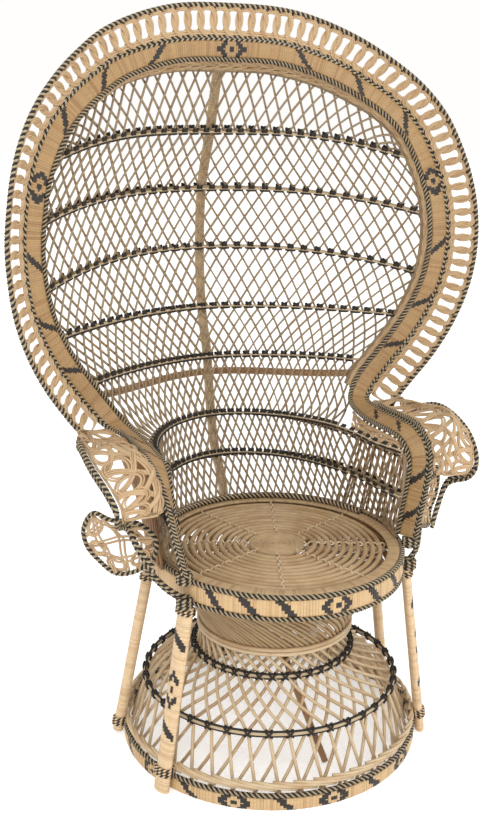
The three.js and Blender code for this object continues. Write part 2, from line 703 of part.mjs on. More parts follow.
const normalStep = 0.3;
function wovenNormal(v, c) {
  const below = wovenPoint(Math.max(v - normalStep, 0), c);
  const above = wovenPoint(Math.min(v + normalStep, crownLevel), c);
  const width = wovenPoint(v, c + normalStep).sub(wovenPoint(v, c - normalStep));
  return width.cross(above.sub(below)).normalize();
}
const wovenOffset = (v, c, offset) => wovenPoint(v, c).addScaledVector(wovenNormal(v, c), offset);

// One layer of canes: each runs diagonally from its lower to its upper end
const columnsPerLevel = 1.5;
function caneLayer(low, high, half, sense, offset) {
  const canes = [];
  const base = Math.floor(low);
  const span = Math.floor((high - base) * columnsPerLevel) + 1;
  for (let start = -half - span; start <= half + span; start += 1) {
    const column = (v) => start + sense * columnsPerLevel * (v - base);
    const reach = [-half, half].map((c) => base + (sense * (c - start)) / columnsPerLevel).sort((a, b) => a - b);
    const [from, to] = [Math.max(low, reach[0]), Math.min(high, reach[1])];
    if (to - from < shortestCane) continue;
    const between = evenly(base, crownLevel, crownLevel - base).filter((v) => v > from && v < to);
    const stops = [from, ...between, to];
    const path = stops.map((v) => wovenOffset(v, column(v), offset));
    canes.push(sweep(path, roundSection(latticeCane / 2, 3), (_, i) => wovenNormal(stops[i], column(stops[i]))));
  }
  return canes;
}
const shortestCane = 0.4;
const layerOffset = latticeCane / 2 + layerRoom;

// Upper back, every cane held by the hoop; its lower ends stop inside the upper arm row
const levelGap = 0.005;
const neckFootLevel = 0.06;
const rimMiddle = vec(0, 0, seatHeight + rimRise / 2);
const neckFoot = wovenPoint(armLevel + neckFootLevel, halfColumns);
const hoopLine = [mirror(neckFoot), ...rimStations.map(hoopPoint), neckFoot];
const backHoop = sweep(hoopLine, square(railRadius), (p) => p.clone().sub(rimMiddle).setY(0));
const canesUp = (low, high, half) => [
  ...caneLayer(low, high, half, 1, layerOffset),
  ...caneLayer(low, high, half, -1, -layerOffset),
];
add("back_lattice", join([...canesUp(armLevel + levelGap, crownLevel, halfColumns), backHoop]), natural);

// Lower weave from the seat to the upper arm row, held by a rail on the seat and the arm fronts
const allColumns = halfColumns + armColumns;
const frontLevels = evenly(0, armLevel - levelGap, armLevel);
const lowFrame = sweep(
  [
    ...frontLevels.slice(1).reverse().map((v) => wovenPoint(v, -allColumns)),
    ...evenly(-allColumns, allColumns, 2 * allColumns).map((c) => wovenPoint(0, c)),
    ...frontLevels.slice(1).map((v) => wovenPoint(v, allColumns)),
  ],
  square(railRadius),
  fromSeatAxis,
);
add("arm_lattice", join([...canesUp(0, armLevel - levelGap, allColumns), lowFrame]), natural);

// Dark woven rows: a strand in front and one behind the canes, joined at both ends
const strandRooms = [2.3, 1.4, 1.9, 0.7, 3.2, 0.7, 1.6];
const strandOffset = layerOffset + latticeCane / 2 + strandRadius;
function wovenRow(v, half, offset) {
  const columns = [-half, ...evenly(Math.ceil(-half), Math.floor(half), 2 * Math.floor(half)), half];
  const front = columns.map((c) => [c, -offset]);
  const back = [...columns].reverse().map((c) => [c, offset]);
  const list = [...front, ...back];
  return sweep(
    list.map(([c, side]) => wovenOffset(v, c, side)),
    roundSection(strandRadius, 3),
    (_, i) => wovenNormal(v, list[i][0]).multiplyScalar(Math.sign(list[i][1])),
    true,
  );
}
const rowEnd = 0.72;
const topRowEnd = 0.97;
const topRowDip = 0.07;
strandRooms.forEach((room, i) => {
  const v = i + 1;
  const top = v === crownLevel - 1;
  const columns = v <= armLevel ? allColumns : halfColumns;
  const row = wovenRow(top ? v - topRowDip : v, columns - (top ? topRowEnd : rowEnd), strandOffset + room);
  add("woven_row_" + v, row, dyed);
});

// Plaited strip between the upper arm row and the arm's inner cord
const plaitColumns = evenly(halfColumns + rowEnd, allColumns - rowEnd, 6);
const plaitStations = evenly(neckStation + 1, neckStation + 4, 6);
const plaitFoot = strandRadius + 4 * gap;
const plaitHead = -cordRadius * 2;
const plaitRings = plaitColumns.map((c, i) => {
  const foot = wovenPoint(armLevel, c).add(vec(0, 0, plaitFoot));
  const head = cordPoint(plaitStations[i], -1).add(vec(0, 0, plaitHead));
  const side = vec(soffitThickness / 2, 0, 0);
  return [foot.clone().sub(side), foot.clone().add(side), head.clone().add(side), head.clone().sub(side)];
});
addPair("arm_plait", loft(plaitRings), natural);

// Braid at the foot of the woven back
const braidInset = railInset + railRadius * Math.SQRT2 + gap + braidRadius * Math.SQRT2;
const braidZ = seatHeight + gap + braidRadius;
add(
  "seat_back_braid",
  sweep(
    evenly(turn / 24, (turn * 11) / 24, 14).map((a) => seatPoint(a, braidInset, braidZ)),
    square(braidRadius),
    fromSeatAxis,
  ),
  dyed,
);

// Pole up the middle of the back, and the bar that crosses behind it
const poleOffset = strandOffset + 2 * strandRadius + 10 * gap + poleRadius;
const poleLevels = [0.35, 1, 2, 3, 4, 5, 6, 7, 7.6, 8.1];
const poleFoot = vec(0, seatCentreY + seatHalfDepth + cordRadius + gap + poleRadius, lowerCordZ);
const poleTop = hoopPoint(0).add(vec(0, railRadius * Math.SQRT2 + gap + poleRadius, poleRadius));
const poleAbove = poleLevels.filter((v) => v < crownLevel).map((v) => wovenPoint(v, 0).add(vec(0, poleOffset, 0)));
const polePath = curve([poleFoot, ...poleAbove, poleTop], 16);
add("rear_pole", sweep(polePath, roundSection(poleRadius, 6), () => vec(1, 0, 0)), natural);
const braceLevel = 2.72;
const braceNestle = 2;
const braceInset = 0.1;
const braceOffset = poleOffset + poleRadius + gap + braceRadius - braceNestle;
const braceEnd = halfColumns - braceInset;
const braceEndOffset = railRadius * Math.SQRT2 + gap + braceRadius - braceNestle;
const bracePath = evenly(-braceEnd, braceEnd, 12).map((c) => {
  const share = Math.abs(c) / braceEnd;
  return wovenOffset(braceLevel, c, -lerp(braceOffset, braceEndOffset, share));
});
add("brace_bar", sweep(bracePath, roundSection(braceRadius, 5), () => up), brown);

// Legs outside the pedestal, each wrapped by its lashings near the top and near the foot
const legTopZ = lowerCordZ - cordRadius - gap;
function ovalRing(middle, outward, depth, width) {
  const out = outward.clone().normalize();
  const side = up.clone().cross(out);
  return roundSection(1 / 2, 8).map(([a, b]) =>
    middle.clone().addScaledVector(out, a * depth).addScaledVector(side, b * width),
  );
}
function legPair(name, [footShares, topShares], depth, width) {
  const foot = vec(footShares[0] * baseRadius, footShares[1] * baseRadius, 0);
  const top = vec(topShares[0] * seatHalfWidth, seatCentreY + topShares[1] * seatHalfDepth, legTopZ);
  const out = vec(foot.x, foot.y, 0);
  const leg = loft([foot, top].map((p) => ovalRing(p, out, depth, width)));
  const lashings = lashingShares.map((share) => {
    const half = lashingHeight / 2 / foot.distanceTo(top);
    const ends = [share - half, share + half].map((f) => foot.clone().lerp(top, f));
    return loft(ends.map((p) => ovalRing(p, out, depth + 2 * lashingThickness, width + 2 * lashingThickness)));
  });
  addPair(name, join([leg, ...lashings]), natural);
}
const lashingShares = [0.22, 0.93];
legPair("front_leg", frontLegShares, legDepth, legWidth);
legPair("rear_leg", rearLegShares, rearLegWidth, rearLegWidth);

// One dyed post inside the pedestal's front
const postLine = innerPostShares.map(([x, y, z]) => vec(x * waistRadius, y * waistRadius, z * waistHeight));
add("inner_post", sweep(postLine, square(postRadius), () => vec(1, 0, 0)), dyed);

// Wing at the side of each arm: loops from the arm's cord over a ridge and down to an outer cord
const wingRidge = wingShares.map(([, ridge]) => placed(ridge));
const wingFoot = wingShares.map(([, , foot]) => placed(foot));
const wingRoom = cordRadius * Math.SQRT2 + 2 * gap + sheetThickness;
const wingCordRoom = cordRadius * Math.SQRT2 + gap + sheetThickness / 2;
const wingGrid = wingShares.map(([station], i) => [
  toward(cordPoint(station, 1), wingRidge[i], wingRoom),
  wingRidge[i],
  wingFoot[i],
]);
addPair("arm_wing", loopSheet(wingGrid), natural);
const wingCordLine = [
  ...wingFoot.map((p, i) => toward(p, wingRidge[i], -wingCordRoom)),
  ...wingTailShares.map(placed),
];
addPair("wing_cord", sweep(wingCordLine, square(cordRadius), () => up), twoTone);

// Ear below the wing: a dish of loops inside a ring of cord
const earRing = curve(earShares.map(placed), 14, true);
const earCentre = earRing.reduce((sum, p) => sum.add(p), vec(0, 0, 0)).divideScalar(earRing.length);
const earRoom = fineCord + 2 * gap + sheetThickness / 2;
const earInnerShare = 0.36;
const earDish = vec(-0.6, 0.8, 0).multiplyScalar(fineCord * 3);
const earFan = curve(earShares.map(placed), 6, true);
const earGrid = earFan.map((p) => [toward(p, earCentre, earRoom), earCentre.clone().lerp(p, earInnerShare).add(earDish)]);
addPair("ear_loops", loopSheet(earGrid, true), natural);
addPair("ear_cord", sweep(earRing, square(fineCord), (p) => p.clone().sub(earCentre), true), twoTone);
addPair("corner_cord", sweep(cornerCordShares.map(placed), square(cordRadius), () => up), twoTone);

// Outer wall of each arm: slanted canes that rise from a rail on the apron to the arm's cord
const wallStops = [0.9, 3.7];
const wallTurns = [0.66, -0.14];
const wallStations = evenly(neckStation + wallStops[0], neckStation + wallStops[1], wallCanes);
const wallAngles = evenly(wallTurns[0], wallTurns[1], wallCanes);
const wallReach = cordRadius + 2 * gap + railRadius;
const wallTop = wallStations.map((s) => cordPoint(s, 1).add(vec(0, 0, -wallReach)));
const wallFoot = wallAngles.map((a) => seatPoint(a, -wallReach, edgeCordZ));
const wallRail = sweep(wallFoot, square(railRadius), () => up);
const wallCane = (foot, i) => sweep([foot, wallTop[i]], roundSection(railRadius, 3), () => vec(1, 0, 0));
addPair("arm_wall", join([wallRail, ...wallFoot.slice(1).map(wallCane)]), brown);

chair.updateMatrixWorld(true);
const box = new THREE.Box3().setFromObject(chair);
chair.position.set(-(box.min.x + box.max.x) / 2, -(box.min.y + box.max.y) / 2, -box.min.z);

export default chair;
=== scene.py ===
# %% [markdown]
# # A peacock chair of woven rattan
# Everything on this chair is a round cane, a cord twisted of light and dark strands, a core wrapped
# side by side with flat strips, a plait, or a light cane bound with dyed strand. So the lesson makes
# a tool for each, and then walks round the chair and uses them on each of its pieces.

import math

import bpy
import numpy as np
from mathutils import Matrix, Vector


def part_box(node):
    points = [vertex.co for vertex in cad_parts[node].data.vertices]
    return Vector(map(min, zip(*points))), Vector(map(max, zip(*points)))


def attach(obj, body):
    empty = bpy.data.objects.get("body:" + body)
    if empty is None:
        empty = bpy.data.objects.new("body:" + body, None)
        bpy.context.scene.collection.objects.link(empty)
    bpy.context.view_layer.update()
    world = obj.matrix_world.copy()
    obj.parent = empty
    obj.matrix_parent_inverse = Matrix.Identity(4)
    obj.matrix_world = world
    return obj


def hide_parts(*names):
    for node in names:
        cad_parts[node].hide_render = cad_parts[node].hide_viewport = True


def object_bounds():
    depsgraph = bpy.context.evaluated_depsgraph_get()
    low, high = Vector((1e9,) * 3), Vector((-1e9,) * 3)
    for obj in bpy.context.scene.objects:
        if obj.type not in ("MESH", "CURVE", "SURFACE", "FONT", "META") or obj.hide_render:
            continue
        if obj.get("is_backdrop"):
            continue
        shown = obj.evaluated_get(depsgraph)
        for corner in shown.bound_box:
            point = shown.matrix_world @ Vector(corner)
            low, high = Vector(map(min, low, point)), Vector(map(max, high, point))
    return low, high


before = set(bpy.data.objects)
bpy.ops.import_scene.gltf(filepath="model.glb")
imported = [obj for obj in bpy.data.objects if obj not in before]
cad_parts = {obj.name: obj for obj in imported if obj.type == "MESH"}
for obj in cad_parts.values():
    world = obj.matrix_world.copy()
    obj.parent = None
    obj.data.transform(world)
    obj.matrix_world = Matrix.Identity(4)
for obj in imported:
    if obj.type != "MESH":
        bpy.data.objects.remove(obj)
cad_low, cad_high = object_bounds()
base_low, base_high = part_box("base_band")
shift = np.array([0, (base_low.y + base_high.y) / 2, 0])
metre = 1000.0
print("nodes:", len(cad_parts), "base ring's centre:", shift)

# %% [markdown]
# The solids were made from a few named sizes and tables of shares, in millimetres, with the origin
# on the floor in the middle of the base ring. The same sizes are stated again here, because the
# looks have to run along the same lines: the seat's oval, the rim and the woven back. The widths and
# depths of the seat and the rim are half sizes. Places along the rim are counted in stations: 0 is
# the crown, the band turns into the arm's at the neck, and the arm ends at its foot. Each row of the
# table is one station, with its shares of the rim's width, depth and rise, the direction across the
# band, and the direction in which the border flares.

# %% Sizes of the chair
seat_height, seat_width, seat_depth, seat_middle = 430.0, 249.0, 263.0, -25.0
base_radius, band_height = 308.0, 26.0
rim_width, rim_depth, rim_top = 438.0, 237.0, 1385.0
rim_rise = rim_top - seat_height
clearance, cord_radius, fine_cord = 0.3, 5.0, 4.5
band_width, band_thickness, border_width = 41.0, 8.0, 62.0
waist_radius, waist_height, waist_middle = 156.0, 258.0, -20.0
apron_top = seat_height - cord_radius
apron_foot = apron_top - 42
neck, foot = 15.5, 24.0
turn = 2 * math.pi

rim_rows = [
    [0, 1, 1, [0, -0.14, 0.99], [0, -0.15, 0.99]],
    [0.265, 0.99, 0.994, [0.3, -0.08, 0.95], [0.14, -0.2, 0.97]],
    [0.516, 0.94, 0.96, [0.59, -0.04, 0.81], [0.4, -0.4, 0.82]],
    [0.65, 0.83, 0.925, [0.7, -0.02, 0.71], [0.5, -0.55, 0.67]],
    [0.765, 0.715, 0.885, [0.81, -0.04, 0.58], [0.56, -0.65, 0.5]],
    [0.858, 0.64, 0.837, [0.9, -0.06, 0.42], [0.58, -0.72, 0.4]],
    [0.92, 0.595, 0.784, [0.95, -0.13, 0.27], [0.59, -0.74, 0.32]],
    [0.961, 0.555, 0.733, [0.95, -0.23, 0.2], [0.6, -0.76, 0.22]],
    [0.986, 0.515, 0.679, [0.97, -0.24, 0.1], [0.61, -0.78, 0.14]],
    [1, 0.505, 0.621, [0.96, -0.28, 0], [0.62, -0.78, 0.05]],
    [0.996, 0.51, 0.563, [0.94, -0.33, -0.1], [0.62, -0.78, -0.08]],
    [0.975, 0.54, 0.503, [0.92, -0.28, -0.26], [0.61, -0.76, -0.2]],
    [0.928, 0.6, 0.438, [0.83, -0.33, -0.44], [0.6, -0.73, -0.33]],
    [0.86, 0.665, 0.377, [0.74, -0.3, -0.6], [0.58, -0.69, -0.42]],
    [0.778, 0.735, 0.32, [0.68, -0.2, -0.7], [0.54, -0.68, -0.5]],
    [0.7, 0.765, 0.271, [0.8, -0.26, -0.5], [0.52, -0.68, -0.52]],
    [0.64, 0.69, 0.235, [0.97, -0.1, -0.1], [0.6, -0.7, -0.3]],
    [0.606, 0.36, 0.224, [0.95, 0, 0.3], [0.7, -0.6, 0.1]],
    [0.607, -0.05, 0.223, [0.93, 0, 0.38], [0.8, -0.4, 0.2]],
    [0.61, -0.29, 0.22, [0.9, -0.15, 0.4], [0.8, -0.4, 0.2]],
    [0.61, -0.464, 0.197, [0.74, -0.55, 0.38], [0.8, -0.4, 0.2]],
    [0.603, -0.53, 0.167, [0.6, -0.76, 0.2], [0.8, -0.4, 0.2]],
    [0.591, -0.544, 0.126, [0.5, -0.86, 0.05], [0.8, -0.4, 0.2]],
    [0.565, -0.55, 0.066, [0.45, -0.89, 0], [0.8, -0.4, 0.2]],
    [0.541, -0.57, 0.014, [0.42, -0.91, 0], [0.8, -0.4, 0.2]],
]
print("rim rows:", len(rim_rows))


# %% [markdown]
# A smooth curve through the rows of a table: the centripetal Catmull-Rom spline, which passes
# through each point and doesn't loop where points are close together. The solids use it too, so
# the pieces made here lie on them.

# %% Curves and directions
def unit(v):
    """The same directions with a length of one."""
    v = np.asarray(v, float)
    return v / np.maximum(np.linalg.norm(v, axis=-1, keepdims=True), 1e-9)


def spline(points, at, closed=False):
    """Points of the curve at shares of its rows, at being from 0 to 1."""
    points = np.asarray(points, float)
    count = len(points)
    spans = count if closed else count - 1
    place = np.clip(np.atleast_1d(at).astype(float), 0, 1) * spans
    i = np.minimum(place.astype(int), spans - 1)
    w = (place - i)[:, None]
    if closed:
        wide = points[np.arange(-1, count + 2) % count]
    else:
        wide = np.vstack([2 * points[0] - points[1], points, 2 * points[-1] - points[-2]])
    p0, p1, p2, p3 = wide[i], wide[i + 1], wide[i + 2], wide[i + 3]
    d0, d1, d2 = (np.sqrt(np.linalg.norm(b - a, axis=1))[:, None] for a, b in ((p0, p1), (p1, p2), (p2, p3)))
    m1 = ((p1 - p0) / d0 - (p2 - p0) / (d0 + d1) + (p2 - p1) / d1) * d1
    m2 = ((p2 - p1) / d1 - (p3 - p1) / (d1 + d2) + (p3 - p2) / d2) * d1
    return p1 + m1 * w + (3 * (p2 - p1) - 2 * m1 - m2) * w**2 + (2 * (p1 - p2) + m1 + m2) * w**3


def lengths(path, closed=False):
    """Distance along the path at each of its points, and in all."""
    ends = np.roll(path, -1, 0) if closed else path[1:]
    steps = np.linalg.norm(ends - path[: len(ends)], axis=1)
    sums = np.concatenate([[0], np.cumsum(steps)])
    return sums[: len(path)], sums[-1]


def carried(path, at, closed, *others):
    """The path and the vectors that go with it, read at distances along it."""
    sums, total = lengths(path, closed)
    if closed:
        sums = np.append(sums, total)
        path, *others = (np.vstack([a, a[:1]]) for a in (path, *others))
    read = lambda a: np.stack([np.interp(at, sums, a[:, k]) for k in range(3)], axis=1)
    return [read(a) for a in (path, *others)]


def spread(v, path):
    """A direction for each point of the path, where one may be given for all."""
    return np.broadcast_to(np.asarray(v, float), path.shape)


def respaced(path, step, outward, closed=False):
    """The same line with its points a step apart."""
    total = lengths(path, closed)[1]
    count = max(int(round(total / step)), 3)
    at = np.arange(count if closed else count + 1) * total / count
    return carried(path, at, closed, spread(outward, path))


def tangents(path, closed=False):
    if closed:
        return unit(np.roll(path, -1, 0) - np.roll(path, 1, 0))
    return unit(np.gradient(path, axis=0))


def axes(path, outward, closed=False):
    """Along, outward and sideways at each point of a path, all square to each other."""
    along = tangents(path, closed)
    out = spread(outward, path)
    out = unit(out - (out * along).sum(1, keepdims=True) * along)
    return along, out, np.cross(along, out)


def full_turn(count):
    """Angles all round, the last a step before the first."""
    return np.arange(count) / count * turn


def around(a, radius, z, middle=0.0, deep=None):
    """Points at angles a round an upright axis. An oval has another radius, deep, from front to back."""
    deep = radius if deep is None else deep
    x, y, z = np.broadcast_arrays(radius * np.cos(a), middle + deep * np.sin(a), z)
    return np.stack([x, y, z], axis=-1)


print("once round a circle of radius 100:", round(lengths(around(full_turn(240), 100, 0), True)[1], 1))


# %% [markdown]
# One piece of the chair can hold hundreds of canes. Making each as an object and joining them would
# be slow, so a collector gathers the points of all of them in arrays and writes one mesh at the
# end. Three values are kept at each point for the finish: where it lies along and across its own
# cane, a random tint of that cane, and how dark it is: 1 where it is dyed, and up to 0.5 painted
# shade in the grooves between strips and strands.

# %% The collector of canes
class Weaving:
    """The canes of one piece, gathered before it is made."""

    def __init__(self, seed):
        self.random = np.random.default_rng(seed)
        self.points, self.grain, self.tint, self.dye, self.faces = [], [], [], [], []
        self.count = 0

    def rings(self, rings, section, distance, dye=0.0, tint=None, closed=False):
        """Rings of points joined to a tube, or to a closed ring of tube."""
        n, sides = rings.shape[:2]
        if tint is None:
            tint = self.random.random()
        tint = np.broadcast_to(np.asarray(tint, float).reshape(-1, 1), (n, sides))
        grain = np.concatenate([np.broadcast_to(distance[:, None, None], (n, sides, 1)), section], axis=2)
        self.points.append(rings.reshape(-1, 3))
        self.grain.append(grain.reshape(-1, 3) / metre)
        self.tint.append(tint.ravel())
        self.dye.append(np.broadcast_to(dye, (n, sides)).ravel())
        here = np.arange(n if closed else n - 1)[:, None] * sides
        ahead = (here + sides) % (n * sides)
        side = np.arange(sides)[None]
        beside = (side + 1) % sides
        quads = np.stack([here + side, here + beside, ahead + beside, ahead + side], axis=2)
        self.faces.append(self.count + quads.reshape(-1, 4))
        if not closed:
            self.faces.append(self.count + np.arange(sides)[::-1].reshape(1, -1))
            self.faces.append(self.count + (n - 1) * sides + np.arange(sides).reshape(1, -1))
        self.count += n * sides

    def sweep(self, path, section, outward, closed=False, dye=0.0, tint=None):
        """A section, or one for each point, carried along a path."""
        along, out, through = axes(path, outward, closed)
        section = np.broadcast_to(section, (len(path), *np.shape(section)[-2:]))
        rings = path[:, None] + out[:, None] * section[..., :1] + through[:, None] * section[..., 1:]
        self.rings(rings, section, lengths(path, closed)[0], dye, tint, closed)

    def mirrored(self):
        """The same canes on the other side of the chair."""
        other = Weaving(0)
        other.points = [p * [-1, 1, 1] for p in self.points]
        other.grain, other.tint, other.dye = self.grain, self.tint, self.dye
        other.faces = [f[:, ::-1] for f in self.faces]
        other.count = self.count
        return other

    def make(self, name, finish, slot, *nodes):
        """One mesh of all the canes, which takes the place of the nodes that it hides."""
        mesh = bpy.data.meshes.new(name)
        points = np.vstack(self.points) / metre + shift
        corners = np.concatenate([f.ravel() for f in self.faces]).astype(np.int32)
        sizes = np.concatenate([np.full(len(f), f.shape[1]) for f in self.faces]).astype(np.int32)
        mesh.vertices.add(len(points))
        mesh.vertices.foreach_set("co", points.astype(np.float32).ravel())
        mesh.loops.add(len(corners))
        mesh.loops.foreach_set("vertex_index", corners)
        mesh.polygons.add(len(sizes))
        starts = np.concatenate([[0], np.cumsum(sizes)[:-1]]).astype(np.int32)
        mesh.polygons.foreach_set("loop_start", starts)
        mesh.polygons.foreach_set("use_smooth", np.ones(len(sizes), bool))
        mesh.update(calc_edges=True)
        for kind, word, values in (
            ("FLOAT_VECTOR", "grain", np.vstack(self.grain)),
            ("FLOAT", "tint", np.concatenate(self.tint)),
            ("FLOAT", "dye", np.concatenate(self.dye)),
        ):
            attribute = mesh.attributes.new(word, kind, "POINT")
            field = "vector" if values.ndim > 1 else "value"
            attribute.data.foreach_set(field, values.astype(np.float32).ravel())
        piece = bpy.data.objects.new(name, mesh)
        bpy.context.scene.collection.objects.link(piece)
        mesh.materials.append(finish)
        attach(piece, "root")
        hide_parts(*nodes)
        print(name, "faces:", len(sizes))


def both_sides(weaving, name, finish, slot, *nodes):
    """The right piece as it was woven, and its mirror image on the left."""
    weaving.make(name + "_right", finish, slot, *(node + "_right" for node in nodes))
    weaving.mirrored().make(name + "_left", finish, slot, *(node + "_left" for node in nodes))


# %% [markdown]
# The first tool is the round cane. The second is the twisted cord: its section has a lobe for each
# strand, light and dyed by turns, and turns as it goes, so that the slanted stripes are real ridges.

# %% Round canes and twisted cords
def circle(radius, sides):
    a = full_turn(sides)
    return np.stack([radius * np.cos(a), radius * np.sin(a)], axis=1)


def cane(weaving, path, radius, outward, sides=6, closed=False, dye=0.0):
    weaving.sweep(np.asarray(path, float), circle(radius, sides), outward, closed, dye)


def twisted(weaving, path, radius, outward, pitch=11.0, closed=False, lobes=2, sense=1):
    """A cord of as many strands as lobes, every second one dyed."""
    rings_per_pitch, sides_per_lobe, valley = 9, 5, 0.66
    path, out = respaced(np.asarray(path, float), pitch / rings_per_pitch, outward, closed)
    sums, total = lengths(path, closed)
    if closed:
        pitch = total / round(total / pitch)
    side = np.arange(lobes * sides_per_lobe)
    around_lobes = side / sides_per_lobe * turn / lobes
    ridge = np.abs(np.sin(around_lobes * lobes / 2))
    reach = radius * (valley + (1 - valley) * ridge)
    angle = around_lobes[None] + sense * (sums / pitch * turn)[:, None]
    section = np.stack([reach * np.cos(angle), reach * np.sin(angle)], axis=2)
    # Every second strand is dyed (1). The edge between two lobes gets 0.5, painted shade that draws a dark
    # line between the strands.
    dye = np.where(side % sides_per_lobe == 0, 0.5, (side // sides_per_lobe) % 2)
    weaving.sweep(path, section, out, closed, dye)


print("points round a thin cane:", len(circle(1, 6)), "and round a thick one:", len(circle(1, 12)))


# %% [markdown]
# The third tool is wrapping: flat strips laid side by side round a core. Each strip gets a groove
# at both edges and a low crown between them. Dyed strips pick out the slanted strokes and the
# flowers along the bands, and a strip is dyed wherever the motif says so.

# %% Wrapped bands and poles
def stepped(value, step):
    """The value in whole steps, so that a motif has the stairs of a woven one."""
    return np.round(value / step) * step


def stroke(slope, half=8.5, reach=17):
    """A slanted stroke about a point of the band: u along it, a across it, in millimetres."""
    return lambda u, a: (np.abs(u - slope * stepped(a, 4.5)) < half) & (np.abs(a) < reach)


def flower(u, a):
    """Two brackets around a small eye."""
    half_length, half_height, apart = 27, 17, 8
    r = np.hypot(stepped(u, 5.5) / half_length, stepped(a, 3.5) / half_height)
    brackets = (r > 0.62) & (r < 1.04) & (np.abs(u) > apart)
    eye = np.hypot(u / 6, a / 5) < 1
    return brackets | eye


def motifs(places):
    """Where the dyed strips show: places along the band, each with its motif."""
    def dyed(u, a):
        total = np.zeros(np.broadcast(u, a).shape, bool)
        for place, shape in places:
            total |= shape(u - place, a)
        return total
    return dyed


def band_section(width):
    """The section of a flat band, thinner towards its edges."""
    a = np.linspace(-1, 1, 11)
    crown = band_thickness / 2 * (1 - 0.5 * a**4)
    front = np.stack([a * width / 2, crown], axis=1)
    back = np.stack([a[::-1] * width / 2, -crown], axis=1)
    return np.vstack([front, back])


def wrapped(weaving, path, section, outward, strip=5.6, closed=False, motif=None, groove=0.7):
    """Strips side by side along a path. Seams get painted shade, but short of the 0.5 of a dyed strip."""
    path = np.asarray(path, float)
    total = lengths(path, closed)[1]
    count = int(round(total / strip))
    rows = np.array([0.03, 0.2, 0.5, 0.8, 0.97])
    depth = np.array([1, 0.3, 0, 0.3, 1]) * groove
    at_edge = np.array([1, 0, 0, 0, 1])
    darkest_seam_shade = 0.45
    at = ((np.arange(count)[:, None] + rows) * total / count).ravel()
    middle = np.repeat((np.arange(count) + 0.5) * total / count, len(rows))
    line, out = carried(path, at, closed, spread(outward, path))
    shrink = np.tile(depth, count)[:, None, None]
    sections = section[None] * (1 - shrink / np.abs(section).max(0))
    tint = np.repeat(weaving.random.random(count), len(rows))
    # Painted shade: the grooves at both edges of each strip are darkened, by a random amount for each strip.
    seam_shade = np.repeat(weaving.random.random(count) ** 2, len(rows)) * np.tile(at_edge, count)
    dye = darkest_seam_shade * seam_shade[:, None] + np.zeros(len(section))
    if motif is not None:
        dye = np.where(motif(middle[:, None], section[None, :, 0]), 1.0, dye)
    weaving.sweep(line, sections, out, closed, dye, tint)


print("points round a flat band:", len(band_section(33)))


# %% [markdown]
# The last tools are the plait, where strands swing from edge to edge and pass over and under, and
# two ways to bind a light cane with dyed strand: the twined row has a knot above the cane and a dash
# below it at each mark, and the lashed ring has an X at each mark and a strand along both sides.

# %% Plaits, twined rows and lashed rings
def plait(weaving, first, second, period, radius):
    """Strands in pairs that swing between two lines and pass over and under each other."""
    strands, pair, swing = 5, 2, 2.5
    middle, wide = (first + second) / 2, second - first
    sums = lengths(middle)[0]
    out = unit(np.cross(tangents(middle), wide))
    room = np.linalg.norm(wide, axis=1) / 2 - (pair + 0.4) * radius
    for k in range(strands):
        phase = sums / period * turn + k * turn / strands
        for m in range(pair):
            aside = room * np.sin(phase) + (2 * m - pair + 1) * radius
            line = middle + unit(wide) * aside[:, None] + out * (swing * np.sin(2 * phase))[:, None]
            cane(weaving, line, radius, out)


def twined(weaving, path, outward, marks, core, strand):
    """A light cane with a dyed knot above it and a dyed dash below it at each mark."""
    path, out = respaced(path, 5.0, outward)
    along, out, down = axes(path, out)
    down = down * np.where(down[:, 2:] > 0, -1, 1)
    cane(weaving, path, core, out, 8)
    t = np.linspace(-1, 1, 7)
    knot_reach, dash_reach = 5.4, np.diff(marks).mean() * 0.38
    for mark in marks:
        point, front, below, ahead = (a[0] for a in carried(path, [mark], False, out, down, along))
        for lean in (-1, 1):
            drop = lean * t * strand - core - strand * 0.8
            knot = point + np.outer(t * knot_reach, ahead) + np.outer(drop, below)
            cane(weaving, knot + np.outer(strand * (1.3 - t**2), front), strand, front, 5, dye=1.0)
        drop = (core + strand * 0.6) * (1 - 0.2 * t**2)
        dash = point + np.outer(t * dash_reach, ahead) + np.outer(drop, below)
        cane(weaving, dash, strand * 0.85, front, 5, dye=1.0)


def lashed(weaving, path, outward, marks, core, strand, reach):
    """A closed cane between two dyed strands, with a dyed X outside and inside at each mark."""
    path, out = respaced(path, 6.0, outward, True)
    out, through = axes(path, out, True)[1:]
    cane(weaving, path, core, out, 8, True)
    for side in (-1, 1):
        edge = path + through * side * (core + strand * 0.6)
        cane(weaving, edge, strand, out, 6, True, dye=1.0)
    t = np.linspace(-1, 1, 7)
    bulge = np.sqrt(np.clip(1 - 0.8 * t**2, 0, 1))
    for mark in marks:
        point, front, beside = (a[0] for a in carried(path, [mark], True, out, through))
        ahead = np.cross(front, beside)
        for face in (1, -1):
            for lean in (-1, 1):
                line = point + np.outer(t * reach * lean, ahead) + np.outer(t * (core + 1.4 * strand), beside)
                line = line + np.outer(face * (core + strand * 0.8) * bulge, front)
                cane(weaving, line, strand, front * face, 5, dye=1.0)


# %% [markdown]
# ## Finishes
# Peeled rattan is pale tan, with fine fibres along it and warm brown patches, and the seams where one
# strip meets the next get painted shade. All of that follows the cane, so the shader reads the stored
# place along and across each cane and not the place in the room.

# %% A small language for shader maths
class Socket:
    """A value of a material that takes the signs of arithmetic."""

    def __init__(self, board, socket):
        self.board, self.socket = board, socket

    def maths(self, operation, *values):
        return self.board.node("ShaderNodeMath", {"operation": operation}, dict(enumerate(values)))

    def __add__(self, other):
        return self.maths("ADD", self, other)

    def __sub__(self, other):
        return self.maths("SUBTRACT", self, other)

    def __rsub__(self, other):
        return self.maths("SUBTRACT", other, self)

    def __mul__(self, other):
        return self.maths("MULTIPLY", self, other)

    def __gt__(self, other):
        return self.maths("GREATER_THAN", self, other)

    def __lt__(self, other):
        return self.maths("LESS_THAN", self, other)

    __radd__, __rmul__ = __add__, __mul__


